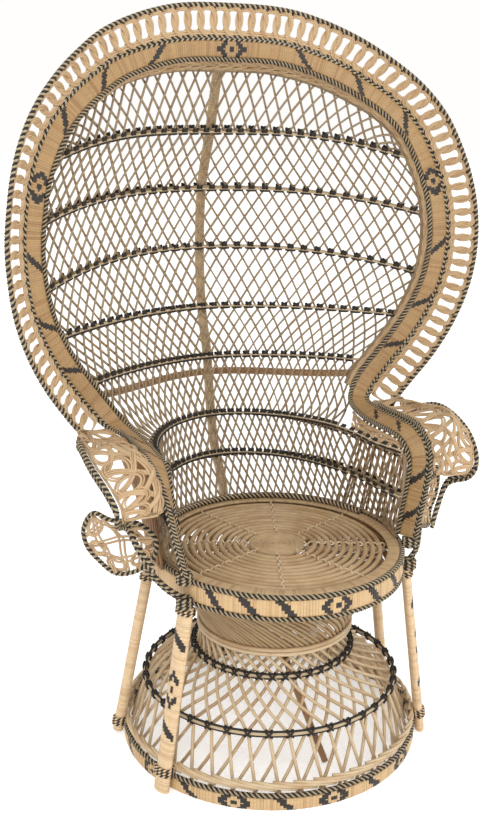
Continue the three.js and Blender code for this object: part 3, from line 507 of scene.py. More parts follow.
class Board:
    """The nodes of one material."""

    def __init__(self, name):
        self.material = bpy.data.materials.new(name)
        self.material.use_nodes = True
        self.tree = self.material.node_tree
        self.shader = self.tree.nodes["Principled BSDF"]

    def node(self, kind, settings=None, inputs=None, output=0):
        made = self.tree.nodes.new(kind)
        for word, value in (settings or {}).items():
            setattr(made, word, value)
        for key, value in (inputs or {}).items():
            self.feed(made.inputs[key], value)
        return Socket(self, made.outputs[output])

    def feed(self, socket, value):
        if isinstance(value, Socket):
            self.tree.links.new(value.socket, socket)
        else:
            socket.default_value = value

    def attribute(self, word, output="Fac"):
        return self.node("ShaderNodeAttribute", {"attribute_name": word}, output=output)

    def noise(self, place, detail):
        return self.node("ShaderNodeTexNoise", None, {"Vector": place, "Scale": 1.0, "Detail": detail})

    def ramp(self, value, low, high, most):
        """0 up to a low value, and most from a high one."""
        return self.node("ShaderNodeMapRange", None, {0: value, 1: low, 2: high, 3: 0.0, 4: most})

    def mix(self, share, a, b):
        a, b = (v if isinstance(v, Socket) else (*v, 1) for v in (a, b))
        return self.node("ShaderNodeMix", {"data_type": "RGBA"}, {0: share, 6: a, 7: b}, output=2)

    def surface(self, **inputs):
        for word, value in inputs.items():
            self.feed(self.shader.inputs[word.replace("_", " ")], value)
        return self.material


def linear(rgb):
    """A colour given as 0 to 255, as the shader counts it."""
    return tuple((c / 255 / 12.92) if c <= 10 else ((c / 255 + 0.055) / 1.055) ** 2.4 for c in rgb)


def shade(colour, share):
    return tuple(c * share for c in colour)


print("a grey of 128 counts as", round(linear([128])[0], 3))


# %% [markdown]
# One finish serves every piece, each time with other colours, and some of these are lighter or darker
# copies that paint light or shade onto a piece. Noise that is stretched along the cane gives the warm
# patches, a finer noise gives the fibres, and the dye value that is stored at each point gives the dark
# strands where it is 1 and painted shade in the grooves where it is up to 0.5. The tint moves the noise
# on, so that no two canes have the same patches.

# %% The rattan finish
patches_per_metre, tint_along, tint_across = 14, 90, 37
fibre_scale = (60, 1500, 1500)


def rattan(name, light, warm, dark=(26, 19, 14), roughness=0.5, patches=0.6, streak=0.4):
    """Cane in a light colour with warm patches, dark wherever it is dyed, and with painted shade in its
    grooves.
    """
    light, warm, dark = (linear(rgb) for rgb in (light, warm, dark))
    board = Board(name)
    grain = board.attribute("grain", "Vector")
    tint = board.attribute("tint")
    dye = board.attribute("dye")
    along = board.node("ShaderNodeSeparateXYZ", None, {0: grain})
    moved_along = along * patches_per_metre + tint * tint_along
    moved = board.node("ShaderNodeCombineXYZ", None, {0: moved_along, 1: tint * tint_across, 2: 0.0})
    patch = board.noise(moved, 3.0)
    drawn_out = board.node("ShaderNodeVectorMath", {"operation": "MULTIPLY"}, {0: grain, 1: fibre_scale})
    fibre = board.noise(drawn_out, 2.0)
    base = board.mix(board.ramp(patch + (tint - 0.5) * 0.35, 0.5, 0.74, patches), light, warm)
    base = board.mix(board.ramp(fibre, 0.38, 0.68, streak), base, shade(warm, 0.62))
    # Painted shade: a dye value up to 0.5 darkens the cane towards a deep warm brown, in the grooves between
    # strips and between a cord's strands.
    base = board.mix(board.ramp(dye, 0.05, 0.5, 0.8), base, shade(warm, 0.22))
    dyed = board.mix(fibre, shade(dark, 0.7), shade(dark, 1.6))
    colour = board.mix(dye > 0.5, base, dyed)
    rough = roughness + (fibre - 0.5) * 0.3
    relief = board.node("ShaderNodeBump", None, {"Strength": 0.3, "Distance": 0.0006, "Height": fibre})
    return board.surface(Base_Color=colour, Roughness=rough, Normal=relief)


orange = (162, 124, 80)
natural = rattan("natural_cane", (198, 176, 142), orange, streak=0.35)
pale = rattan("pale_loop_cane", (190, 162, 124), (156, 118, 80), streak=0.3)
weathered = rattan("weathered_weave_cane", (150, 130, 100), (124, 96, 66), roughness=0.55)
honey = rattan("honey_strips", (166, 134, 90), (136, 96, 54), roughness=0.45)
# A lighter copy of the honey strips, for the base band and the seat's apron: painted light on low bands that
# get less light.
honey_painted_light = rattan("honey_strips_painted_light", (202, 171, 126), (168, 128, 84), roughness=0.45)
# A lighter copy of the natural cane, for the legs: painted light on the legs, which stand low under the seat.
natural_painted_light = rattan("natural_cane_painted_light", (218, 191, 152), (182, 142, 100))
# A darker copy of the natural cane, for the seat, its margin and disc, and the back pole: painted shade, as
# of the gaps between the seat's turns.
natural_painted_shade = rattan("natural_cane_painted_shade", (182, 156, 118), (148, 108, 66))
# A darker copy of the natural cane, for the fan under the seat: painted shade, as the fan lies in the seat's
# shadow.
fan_painted_shade = rattan("fan_cane_painted_shade", (164, 138, 100), (130, 96, 60))
brown = rattan("brown_pole", (160, 120, 78), (112, 76, 44), roughness=0.45, patches=0.7, streak=0.5)
dyed_strand = rattan("dyed_strand", (184, 166, 136), orange, (28, 21, 16), 0.75, 0.3)
two_tone = rattan("two_tone_cord", (170, 154, 124), (136, 112, 82), (24, 18, 13), 0.75, 0.4)
print("finishes:", [material.name for material in bpy.data.materials])

# %% [markdown]
# ## Base
# The chair stands on a band wrapped with flat strips, with a flower and a slanted stroke by turns.
# A two-tone cord runs along its upper edge, and above it the ends of the pedestal's canes are laid
# over one another to make the border.

# %% Rings and the base
def ring(radius, z, count=240, middle=0.0):
    return around(full_turn(count), radius, z, middle)


def from_axis(path, middle=0.0):
    """Direction away from the upright axis at each point of a path."""
    return unit((path - [0, middle, 0]) * [1, 1, 0])


up = np.array([0, 0, 1.0])
base_line_radius, base_motif_count = base_radius - 4, 20
base_places = []
for k in range(base_motif_count):
    share = (k / base_motif_count + 0.75) % 1
    base_places.append((turn * base_line_radius * share, stroke(-1) if k % 2 else flower))
base_line = ring(base_line_radius, band_height / 2)
band = Weaving(1)
wrapped(band, base_line, band_section(band_height - 1), up, 6.2, True, motifs(base_places))
band.make("base_band_wrap", honey_painted_light, "honey_wrap", "base_band")

edge = Weaving(2)
line = ring(base_radius - 3.5, band_height + 5.2)
twisted(edge, line, 5.2, from_axis(line), 21, True, lobes=4)
edge.make("base_edge_cord", two_tone, "two_tone_cord", "base_cord")

border = Weaving(3)
sweeps, sweep_angle = 48, 0.42
border_radius, border_top, border_fall = 297, 55, 17
t = np.linspace(0, 1, 22)
bow = np.sin(t * math.pi)
for k in range(sweeps):
    a = (k / sweeps) * turn + t * sweep_angle
    path = around(a, border_radius + 7 * bow, border_top - border_fall * t + 4 * bow)
    cane(border, path, 3.4, up, 7)
border.make("base_border", natural, "natural_cane", "base_plait")


# %% [markdown]
# ## Pedestal
# Two layers of thick canes cross each other from the base to the waist. Above it a closer layer fans
# out to the seat with a strong twist. One table gives the radius and the middle at six heights, and two
# more give how far each layer has turned there, in degrees. Two light rings lie round the canes, lashed
# with dyed strand at each crossing, and a pair of plain canes holds the waist.

# %% The pedestal's canes
hoop_radius, rail_radius, ring_cane, pedestal_cane = 6.0, 4.0, 5.0, 4.0
frame_width, frame_height = 20.0, 22.0
seat_frame_z = seat_height - band_thickness - clearance - frame_height / 2
top_hoop_z = seat_frame_z - frame_height / 2 - clearance - hoop_radius
frame_inset = cord_radius + clearance + frame_width / 2
top_inset = frame_inset + frame_width / 2
top_radius = seat_width - top_inset
inside = ring_cane + clearance + pedestal_cane / 2
lower_radius, lower_z = 261.0, 134.0
upper_radius, upper_z = 163.0, 205.0
fan_z = waist_height + (top_hoop_z - waist_height) * 0.55
pedestal_rows = [
    (0, base_radius - 12, 0),
    (lower_z, lower_radius - inside * 1.15, 0),
    (upper_z, upper_radius - inside * 1.45, waist_middle / 2),
    (waist_height, waist_radius - inside * 1.4, waist_middle),
    (fan_z, waist_radius - inside + (top_radius - waist_radius + inside) * 0.42, seat_middle),
    (top_hoop_z, top_radius, seat_middle),
]
outer_turn = [(0, 5.5), (lower_z, 0), (upper_z, -26), (waist_height, -45.5), (fan_z, -74), (top_hoop_z, -100)]
inner_turn = [(0, -17), (lower_z, 0), (upper_z, 20), (waist_height, 39)]
cane_count = 41


def eased(rows, z, column):
    """A column of the table at heights z, with its corners rounded."""
    heights, values = np.array(rows)[:, 0], np.array(rows)[:, column]
    near = [np.interp(z + d, heights, values) for d in (-14, -7, 0, 7, 14)]
    return np.mean(near, axis=0)


def pedestal_canes(weaving, low, high, turned, inwards, count, radius):
    z = np.linspace(low, high, 40)
    r = eased(pedestal_rows, z, 1) - inwards
    middle, twist = eased(pedestal_rows, z, 2), np.radians(eased(turned, z, 1))
    for k in range(count):
        a = k / count * turn + twist + weaving.random.normal(0, 0.004)
        path = around(a, r, z, middle)
        cane(weaving, path, radius, from_axis(path, waist_middle / 2), 8)


outer = Weaving(4)
pedestal_canes(outer, 6, waist_height - 3, outer_turn, 0, cane_count, 3.5)
outer.make("pedestal_outer_weave", natural, "natural_cane", "pedestal_lower_canes")
fan = Weaving(3)
pedestal_canes(fan, waist_height - 2, top_hoop_z - 8, outer_turn, 0, 2 * cane_count, 3.8)
fan.make("pedestal_fan_weave", fan_painted_shade, "natural_cane", "pedestal_upper_canes")
inner = Weaving(5)
pedestal_canes(inner, 14, waist_height + 4, inner_turn, 9.5, cane_count, 3.5)
inner.make("pedestal_inner_weave", natural, "natural_cane", "pedestal_inner_canes")


def lashed_ring(name, radius, z, middle, twist, seed, node):
    weaving = Weaving(seed)
    line = ring(radius, z, middle=middle)
    marks = (np.arange(cane_count) / cane_count + twist / 360) % 1 * lengths(line, True)[1]
    lashed(weaving, line, from_axis(line, middle), marks, 3.6, 2.2, 6.5)
    weaving.make(name, dyed_strand, "dyed_cane", node)


lashed_ring("lower_ring_lashed", lower_radius, lower_z, 0, 0, 6, "pedestal_ring_lower")
lashed_ring("upper_ring_lashed", upper_radius, upper_z, waist_middle / 2, -26, 7, "pedestal_ring_upper")

waist = Weaving(8)
for side in (-1, 1):
    line = ring(waist_radius, waist_height + side * 4.4, 120, waist_middle)
    cane(waist, line, 4.2, from_axis(line, waist_middle), 10, True)
waist.make("waist_canes", natural, "natural_cane", "waist_hoop")


# %% [markdown]
# ## Seat
# The seat is an oval. Its apron is wrapped and carries strokes with a flower in front, between two
# cords. On top a wrapped margin surrounds one long cane wound from a fine disc outwards, and eight
# ties hold the turns at their distance.

# %% The seat's edge
def seat_oval(a, inset, z):
    """Points at angles a on the seat's oval, or inside it by an inset."""
    return around(a, seat_width - inset, z, seat_middle, seat_depth - inset)


def oval(inset, z):
    return seat_oval(full_turn(240), inset, z)


def seat_axis(path):
    return from_axis(path, seat_middle)


top_hoop = Weaving(9)
line = oval(top_inset, top_hoop_z)
cane(top_hoop, line, 6.4, seat_axis(line), 10, True)
top_hoop.make("pedestal_top_pole", brown, "brown_pole", "pedestal_top_hoop")

frame_hoop = Weaving(10)
line = oval(frame_inset, seat_frame_z)
for lift in (5.2, -5.2):
    cane(frame_hoop, line + [0, 0, lift], 5.4, seat_axis(line), 10, True)
frame_hoop.make("seat_frame_poles", brown, "brown_pole", "seat_frame")

apron = Weaving(11)
line = oval(0, (apron_top + apron_foot) / 2)
around_apron = lengths(line, True)[1]
apron_marks = []
for front_or_back in (0.7516, 0.25):
    apron_marks.append((front_or_back * around_apron, flower))
    for off in (-0.1451, -0.1023, -0.059, 0.054, 0.0988, 0.1436):
        apron_marks.append(((front_or_back + off) * around_apron, stroke(-0.85)))
wrapped(apron, line, band_section(33), up, closed=True, motif=motifs(apron_marks))
apron.make("seat_apron_wrap", honey_painted_light, "honey_wrap", "seat_apron")

for name, node, z in (
    ("apron_cord_upper", "apron_cord_top", apron_top),
    ("apron_cord_lower", "apron_cord_bottom", apron_foot),
):
    cord = Weaving(12 + int(z))
    line = oval(0, z)
    twisted(cord, line, 5.2, seat_axis(line), 20, True, lobes=4)
    cord.make(name, two_tone, "two_tone_cord", node)

margin = Weaving(14)
margin_inset, margin_width = 17.3, 24
line = oval(margin_inset, seat_height - band_thickness / 2)
wrapped(margin, line, band_section(margin_width), seat_axis(line), 5.0, True)
margin.make("seat_margin_wrap", natural_painted_shade, "natural_cane", "seat_margin")

# %% [markdown]
# The seat's cane is one spiral, swept in one go. Its radius grows a little more from front to back, so
# that its last turn follows the oval. Along each tie two strands wave over and under the turns.

# %% The wound cane, its disc and its ties
wound_radius, wound_pitch, spoke_radius = 5.0, 14.4, 4.0
wound_z = seat_height - 2 * wound_radius
spoke_z = wound_z - wound_radius - clearance - spoke_radius
disc_radius = 58
spiral_start = disc_radius + clearance + wound_radius
spiral_end = seat_width - margin_inset - margin_width / 2 - 1 - wound_radius
turns = (spiral_end - spiral_start) / wound_pitch
share = np.linspace(0, 1, int(turns * 56))
r = spiral_start + (spiral_end - spiral_start) * share
stretch = (seat_depth - seat_width) * share
spiral = Weaving(15)
cane(spiral, around(share * turns * turn, r, wound_z, seat_middle, r + stretch), wound_radius, up, 12)
spiral.make("seat_wound_cane", natural_painted_shade, "natural_cane", "seat_spiral")

disc = Weaving(16)
fine = np.linspace(0, 1, 420)
fine_turns = (disc_radius - 1) / 4.6
fine_line = around(fine * fine_turns * turn, 1.5 + 55 * fine, wound_z + 1, seat_middle)
cane(disc, fine_line, 2.4, up, 8)
underside = [(2, -3.5), (disc_radius - 2, -3.5), (disc_radius - 2, -0.5), (2, -0.5)]
under = np.stack([ring(q, wound_z + h, 48, seat_middle) for q, h in underside])
disc.rings(under, np.zeros((*under.shape[:2], 2)), np.zeros(len(under)))
disc.make("seat_fine_disc", natural_painted_shade, "natural_cane", "seat_disc")

ties = Weaving(17)
tie_count = 8
t = np.linspace(0, 1, 90)
for k in range(tie_count):
    a = (k + 0.5) / tie_count * turn
    far = seat_oval(a, 31, wound_z)
    near = around(a, disc_radius - 4, wound_z, seat_middle)
    side = np.cross(unit(far - near), up)
    wave = t * np.linalg.norm(far - near) / wound_pitch * math.pi
    for phase, lean in ((0, 1), (math.pi, -1)):
        lift, sway = 6.4 * np.cos(wave + phase), 3.0 * lean * np.sin(wave + phase)
        path = near + np.outer(t, far - near) + np.outer(lift, up) + np.outer(sway, side)
        cane(ties, path, 1.7, side)
    cane(ties, [[*near[:2], spoke_z], [*far[:2], spoke_z]], spoke_radius, up, 8)
cane(ties, ring(29, spoke_z, 48, seat_middle), spoke_radius, up, 8, True)
ties.make("seat_ties", natural, "brown_pole", "seat_spokes")

# %% [markdown]
# ## Rim and arms
# One line runs from the foot of an arm over the crown to the other arm. A wrapped band follows it
# with a cord at each edge. The same table of shares that shaped the solids gives the line here.

# %% The rim's line
def placed(row):
    """The point that a row of shares stands for."""
    return [row[0] * rim_width, row[1] * rim_depth, seat_height + row[2] * rim_rise]


half = np.array([placed(row) for row in rim_rows])
half_across = np.array([row[3] for row in rim_rows], float)
half_flare = np.array([row[4] for row in rim_rows], float)
mirrored = lambda rows: np.vstack([rows[1:][::-1] * [-1, 1, 1], rows])
rim_points, rim_across, rim_flare = mirrored(half), mirrored(half_across), mirrored(half_flare)
share_of = lambda s: (np.asarray(s, float) / foot + 1) / 2
rim_line = lambda s: spline(rim_points, share_of(s))
across = lambda s: unit(spline(rim_across, share_of(s)))
flare = lambda s: unit(spline(rim_flare, share_of(s)))
cord_line = lambda s, side: rim_line(s) + across(s) * side * band_width / 2


def hoop_line(s):
    """The hoop behind the rim's inner cord, further back and lower towards the crown."""
    back, more_back, lower = 32, 15, 19
    crown = np.maximum(across(s)[:, 2:], 0) ** 2
    return cord_line(s, -1) + np.array([0, 1, 0]) * (back + more_back * crown) - across(s) * lower * crown


rim_stations = np.linspace(-neck, neck, 900)
arm_stations = np.linspace(neck, foot, 300)
print("rim length:", round(lengths(rim_line(rim_stations))[1]))
print("arm length:", round(lengths(rim_line(arm_stations))[1]))


def band_motifs(stations, wanted):
    """Motifs at stations of the rim, for the band that runs along these stations."""
    sums = lengths(rim_line(stations))[0]
    return motifs([(float(np.interp(s, stations, sums)), shape) for s, shape in wanted])


def rim_wrapped(weaving, stations, wanted):
    motif, section = band_motifs(stations, wanted), band_section(31.5)
    wrapped(weaving, rim_line(stations), section, across(stations), 4.6, motif=motif)


# %% The wrapped rim
rim_motifs = [(0, flower), (7.07, flower), (-7.07, flower)]
for s in (1.37, 2.8, 4.68, 9.6, 11.7, 13.35):
    rim_motifs += [(s, stroke(-1.1, 7, 14)), (-s, stroke(1.1, 7, 14))]
rim = Weaving(20)
rim_wrapped(rim, rim_stations, rim_motifs)
rim.make("rim_wrap", honey, "honey_wrap", "rim_band")

# %% The wrapped arms
arm_motifs = [(17.31, stroke(-2, 6, 10)), (18.41, stroke(-2, 6, 12))]
arm_motifs += [(21.67, stroke(-0.9, 7)), (23.1, stroke(-0.9, 7))]
arm = Weaving(23)
rim_wrapped(arm, arm_stations, arm_motifs)
both_sides(arm, "arm_wrap", honey, "honey_wrap", "arm_band")

# %% The two cords beside the band, from the foot of one arm to the foot of the other
all_stations = np.linspace(-foot, foot, 1500)
inside_cord = Weaving(21)
twisted(inside_cord, cord_line(all_stations, -1), 5.1, across(all_stations), 16.4, lobes=4)
inside_cord.make("rim_cord_inside", two_tone, "two_tone_cord", "rim_cord_inner")
outside_cord = Weaving(22)
for sense in (1, -1):
    path = cord_line(all_stations, 1) + across(all_stations) * sense * 2.9
    twisted(outside_cord, path, 3.5, across(all_stations), 11, sense=sense)
# A second, thicker cord lies beside it on the arms, from below the neck to the foot.
second = arm_stations[arm_stations > 17]
away = np.cross(tangents(rim_line(second)), across(second))
for side in (1, -1):
    path = (cord_line(second, 1) + across(second) * 6 + away * 6.5) * [side, 1, 1]
    twisted(outside_cord, path, 4.4, across(second) * [side, 1, 1], 15, lobes=4, sense=side)
outside_cord.make("rim_cord_outside", two_tone, "two_tone_cord", "rim_cord_outer")

# %% [markdown]
# ## Border
# Outside the rim stands a border of loops. Each loop is a tall oval of three canes, wider than its
# share of the border, so that it passes over its neighbour above and under it below. The lens
# where two loops overlap is full of cane, and the windows between are pinched in the middle.

# %% The border of loops
def border_point(s, reach):
    """Points at distances outwards from the rim's outer cord."""
    return cord_line(s, 1) + flare(s) * np.asarray(reach, float).reshape(-1, 1)


border_middle, loop_spacing, loop_half_width, loop_half_height = 32, 27, 17, 25.5
between_canes, loop_swing = 3.3, 2.3
mid_border = border_point(rim_stations, border_middle)
mid_tangents = tangents(mid_border)
border_sums, border_length = lengths(mid_border)
loops = int(round(border_length / loop_spacing))
print("loops of the border:", loops)
theta = full_turn(30)
border_weave = Weaving(26)
for k in range(loops):
    for grow in (-between_canes, 0, between_canes):
        u = (k + 0.5) / loops * border_length + (loop_half_width + grow) * np.cos(theta)
        s = np.interp(np.clip(u, 0, border_length), border_sums, rim_stations)
        path = border_point(s, border_middle + (loop_half_height + grow) * np.sin(theta))
        nearest = np.searchsorted(border_sums, np.clip(u, 0, border_length - 1))
        normal = np.cross(mid_tangents[nearest], flare(s))
        path = path + normal * (loop_swing * np.sin(2 * theta))[:, None]
        cane(border_weave, path, 1.95, normal, closed=True)
for reach, radius in ((8, 2.4), (12.5, 2.2), (53, 2.2)):
    path, out = respaced(border_point(rim_stations, reach), 10, flare(rim_stations))
    cane(border_weave, path, radius, out)
for k in range(loops + 1):
    s = np.interp([k / loops * border_length], border_sums, rim_stations)
    knot = np.vstack([border_point(s, reach) for reach in (51, 54, 57, 60)])
    cane(border_weave, knot, 3.4, [0, 1, 0], dye=1.0)
border_weave.make("border_of_loops", pale, "natural_cane", "border_loops")
border_edge = Weaving(27)
twisted(border_edge, border_point(rim_stations, border_width), 4.9, flare(rim_stations), 11)
border_edge.make("border_edge_cord", two_tone, "two_tone_cord", "border_cord")

# %% [markdown]
# ## Woven back
# The weave is a curved surface with two sets of slanting canes, from the seat and the arms up to a
# hoop behind the rim. The surface is worked out once as a table over height and width, and
# everything on it is then read from the table. Height counts levels from 0 at the seat to 8 at the
# hoop. Width counts columns from the middle: 6 to each edge of the back, and 3 more round each arm.
# A low level has a height, a width, a middle, a depth and the place where it ends at the arm's front.
# A high one has the hoop's station where it ends, and its height and depth as shares.

# %% The woven surface
rail_z = seat_height + clearance + rail_radius
low_levels = [
    (rail_z, seat_width - 3, seat_middle, seat_depth - 3, (0.92 * seat_width, -0.41 * seat_depth)),
    (seat_height + 0.09005 * rim_rise, 0.9357 * seat_width, 1.2 * seat_middle, 1.2395 * seat_depth,
     (0.976 * seat_width, -0.403 * seat_depth)),
    (seat_height + 0.18115 * rim_rise, 0.9197 * seat_width, 0.8 * seat_middle, 1.3156 * seat_depth,
     (1.004 * seat_width, -0.357 * seat_depth)),
]
high_levels = [
    (14.45, 0.315, 0.88), (12.45, 0.427, 0.97), (10.75, 0.568, 1), (8.35, 0.704, 0.965), (5.9, 0.836, 0.83),
]
back_depth, crown_end = 398.0, 5.9
curves = []
for z, width, middle, depth, end in low_levels:
    points = around(np.linspace(turn / 4, 0, 31), width, z, middle, depth)
    curves.append(np.vstack([points, [*end, z]]))
for end, height, depth in high_levels:
    tip = hoop_line([end])[0]
    u = np.sin(np.linspace(0, turn / 4, 31))
    z = seat_height + height * rim_rise
    y = depth * back_depth
    curves.append(np.stack([tip[0] * u, y + (tip[1] - y) * u**1.75, z + (tip[2] - z) * u**3], axis=1))
curves.append(hoop_line(np.linspace(0, crown_end, 31)))
top_level, back_columns, arm_columns, back_share = 8, 6, 3, 0.57
all_columns = back_columns + arm_columns
stops = [neck, *(row[0] for row in high_levels), crown_end]


def to_side(vectors, c):
    """The vectors of the right side, mirrored where the column is on the left."""
    return vectors * np.where(c < 0, -1, 1)[:, None] ** [1, 0, 0]


def level(k, c):
    """Points of a level's curve at columns c. The three lowest also run round the arms."""
    side = np.abs(c)
    share = side / back_columns
    if k <= 2:
        on_arm = back_share + (1 - back_share) * (side - back_columns) / arm_columns
        share = np.where(side <= back_columns, back_share * share, on_arm)
    sums, total = lengths(curves[k])
    at = np.clip(share, 0, 1) * total
    return to_side(np.stack([np.interp(at, sums, curves[k][:, j]) for j in range(3)], axis=1), c)


def edge_station(v):
    """The station of the hoop where the back's edge meets it, at height v."""
    if v <= 3:
        return neck + (stops[1] - neck) * (v - 2.5) / 0.5
    k = min(int(v), top_level - 1)
    return stops[k - 2] + (stops[k - 1] - stops[k - 2]) * (v - k)


def woven_row_points(v, c):
    """Points at height v and columns c, with the back's edges drawn to the hoop."""
    k = min(int(v), top_level - 1)
    between = lambda columns: level(k, columns) * (1 - (v - k)) + level(k + 1, columns) * (v - k)
    if v <= 2 or v > 7:
        return between(c)
    edge_column = np.array([back_columns])
    if v < 2.5:
        low = level(2, edge_column)[0]
        target = low + (hoop_line([neck])[0] - low) * (v - 2) / 0.5
    else:
        target = hoop_line([edge_station(v)])[0]
    if v < 3:
        behind_band = 37
        target = target + [behind_band * min((v - 2) / 0.2, 1) * (3 - v), 0, 0]
    move = (target - between(edge_column)[0])[None] * np.minimum(np.abs(c) / back_columns, 1)[:, None] ** 3
    return between(c) + to_side(move, c)


rows_per_level, rows_per_column = 20, 10
table_v = np.linspace(0, top_level, top_level * rows_per_level + 1)
table_c = np.linspace(-all_columns, all_columns, 2 * all_columns * rows_per_column + 1)
table = np.stack([woven_row_points(v, table_c) for v in table_v])


def on_weave(v, c):
    """Points of the woven surface at heights v and columns c."""
    i = np.clip(np.asarray(v, float) * rows_per_level, 0, len(table_v) - 1.001)
    j = np.clip((np.asarray(c, float) + all_columns) * rows_per_column, 0, len(table_c) - 1.001)
    i0, j0 = i.astype(int), j.astype(int)
    fi, fj = (i - i0)[..., None], (j - j0)[..., None]
    top = table[i0 + 1, j0] * (1 - fj) + table[i0 + 1, j0 + 1] * fj
    low = table[i0, j0] * (1 - fj) + table[i0, j0 + 1] * fj
    return low * (1 - fi) + top * fi


def weave_front(v, c):
    """Direction out of the weave, towards the sitter."""
    v, c = np.broadcast_arrays(np.asarray(v, float), np.asarray(c, float))
    half_wide, half_high = 0.15, 0.2
    reach = np.where(v > 2, back_columns, all_columns) - half_wide
    c = np.clip(c, -reach, reach)
    width = on_weave(v, c + half_wide) - on_weave(v, c - half_wide)
    rise = on_weave(np.minimum(v + half_high, top_level), c) - on_weave(np.maximum(v - half_high, 0), c)
    return unit(np.cross(width, rise))


middle_line = table[:, len(table_c) // 2].round()
print("weave at the middle, from", middle_line[0], "to", middle_line[-1])

# %% [markdown]
# The canes of one set lean to the right and those of the other to the left, so that they cross all
# over the back. Each set keeps its own side of the surface, as if laid on the other. A little chance
# in the depth and the thickness of each cane keeps the weave from looking machined.

# %% The slanting canes
cell = 0.375
shift_rows = np.array([(0, -4.0), (2, 0), (7, 14.25), (8, 16.25)])


def slanting(weaving, low, high, half_columns):
    """Two sets of canes that cross: one moves to the right by the table's cells, the other to the left."""
    layer, radius, steps_per_level = 2.8, 2.45, 16
    v_all = np.linspace(low, high, int(round((high - low) * steps_per_level)) + 1)
    shift_all = np.interp(v_all, shift_rows[:, 0], shift_rows[:, 1]) * cell
    spans = int((np.abs(shift_all).max() + half_columns) / cell) + 1
    for sense in (1, -1):
        for k in range(-spans, spans + 1):
            c_all = k * cell + sense * shift_all
            order = np.argsort(c_all)
            kept = np.abs(c_all) < half_columns
            if kept.sum() < 3:
                continue
            v, c = v_all[kept], c_all[kept]
            for end, whole in ((0, low), (-1, high)):
                if v[end] != whole:
                    limit = half_columns * np.sign(c[end])
                    at = np.interp(limit, c_all[order], v_all[order])
                    place = 0 if end == 0 else len(v)
                    v, c = np.insert(v, place, at), np.insert(c, place, limit)
            front = weave_front(v, c)
            path = on_weave(v, c) + front * (layer * sense + weaving.random.normal(0, 0.2))
            cane(weaving, path, radius * (1 + 0.08 * weaving.random.normal()), front)


back = Weaving(30)
slanting(back, 2.0, 7.99, back_columns)
hoop_path, hoop_out = respaced(hoop_line(rim_stations), 12, [0, 1, 0])
cane(back, hoop_path, 4.6, hoop_out, 8)
back.make("back_weave", weathered, "natural_cane", "back_lattice")

arms_low = Weaving(31)
slanting(arms_low, 0.0, 1.99, all_columns)
rail_c = np.linspace(-all_columns, all_columns, 90)[1:-1]
front_v = np.linspace(0, 1.97, 16)
left_front, right_front = (on_weave(front_v, np.full(16, c)) for c in (-all_columns, all_columns))
frame_path = np.vstack([left_front[::-1], on_weave(np.zeros(88), rail_c), right_front])
cane(arms_low, frame_path, 4.2, seat_axis(frame_path), 8)
arms_low.make("arm_weave", weathered, "natural_cane", "arm_lattice")


# %% [markdown]
# Seven dark rows bind the weave, each on its front and on its back. They are twined rows, with a knot
# and a dash at each cane of the set that leans to the right.

# %% The dark rows
def woven_row(number, v, limit, seed):
    """A row at height v on both faces of the weave, out to a limit in columns."""
    weaving = Weaving(seed)
    columns = np.linspace(-limit, limit, 160)
    heights = np.full(160, v)
    front, centre = weave_front(heights, columns), on_weave(heights, columns)
    moved = float(np.interp(v, shift_rows[:, 0], shift_rows[:, 1])) % 1 * cell
    cells = math.ceil(limit / cell)
    crossing = np.arange(-cells, cells + 1) * cell + moved
    crossing = crossing[np.abs(crossing) < limit - 0.05]
    for face in (1, -1):
        line = centre + front * face * 7.0
        marks = np.interp(crossing, columns, lengths(line)[0])
        twined(weaving, line, front * face, marks, 2.5, 2.8)
    weaving.make("dark_row_%d" % number, dyed_strand, "dyed_cane", "woven_row_%d" % number)


for number, v in enumerate((1, 2, 3, 4, 5, 6, 6.97), 1):
    woven_row(number, v, (all_columns if v <= 2 else back_columns) - 0.05, 32 + int(v))

# %% [markdown]
# ## Inside the rim
# Between the inner cord and the hoop behind it the ends of the canes are plaited into a loose band.
# A similar plait fills the strip between the second dark row and the arm, and a dark twist lies where
# the back meets the seat.

# %% Plaits of the rim and the arms, and the seat's twist
soffit = Weaving(40)
front_line = cord_line(rim_stations, -1) + [0, 7.4, 0]
back_line = hoop_line(rim_stations) - [0, 6.8, 0]
plait(soffit, front_line, back_line, 150, 2.4)
soffit.make("rim_plait", pale, "natural_cane", "rim_soffit")

plait_c = np.linspace(6.72, 8.28, 90)
plait_s = np.interp(plait_c, [6.72, 8.28], [neck + 1, neck + 4])
lower_line = on_weave(np.full(90, 2.0), plait_c) + [0, 0, 8]
upper_line = cord_line(plait_s, -1) - [0, 0, 9]
arm_fill = Weaving(41)
plait(arm_fill, lower_line, upper_line, 120, 2.3)
both_sides(arm_fill, "arm_side_plait", pale, "natural_cane", "arm_plait")

braid = Weaving(42)
rail_inset, half_rail, half_braid = 3, 5.66, 7.8
braid_inset = rail_inset + half_rail + clearance + half_braid
line = seat_oval(np.linspace(turn / 24, turn * 11 / 24, 160), braid_inset, seat_height + 6)
twisted(braid, line, 6.2, seat_axis(line), 20, lobes=4)
braid.make("seat_back_twist", dyed_strand, "dyed_cane", "seat_back_braid")

# %% [markdown]
# ## Pole and brace
# A wrapped pole stands behind the weave in the middle, and a brown bar bends behind it from side to
# side of the back.

# %% The pole and the brace
pole_levels = [0.35, 1, 2, 3, 4, 5, 6, 7, 7.6]
pole_behind = 24.2
pole_points = [[0, seat_middle + seat_depth + 16.3, apron_foot]]
pole_points += [list(on_weave(v, 0.0) + [0, pole_behind, 0]) for v in pole_levels]
pole_points += [list(hoop_line([0.0])[0] + [0, 17, 11])]
pole_path = spline(pole_points, np.linspace(0, 1, 200))
pole = Weaving(43)
wrapped(pole, pole_path, circle(10.8, 16), [1, 0, 0], 7.0, groove=0.6)
pole.make("back_pole", natural_painted_shade, "natural_cane", "rear_pole")

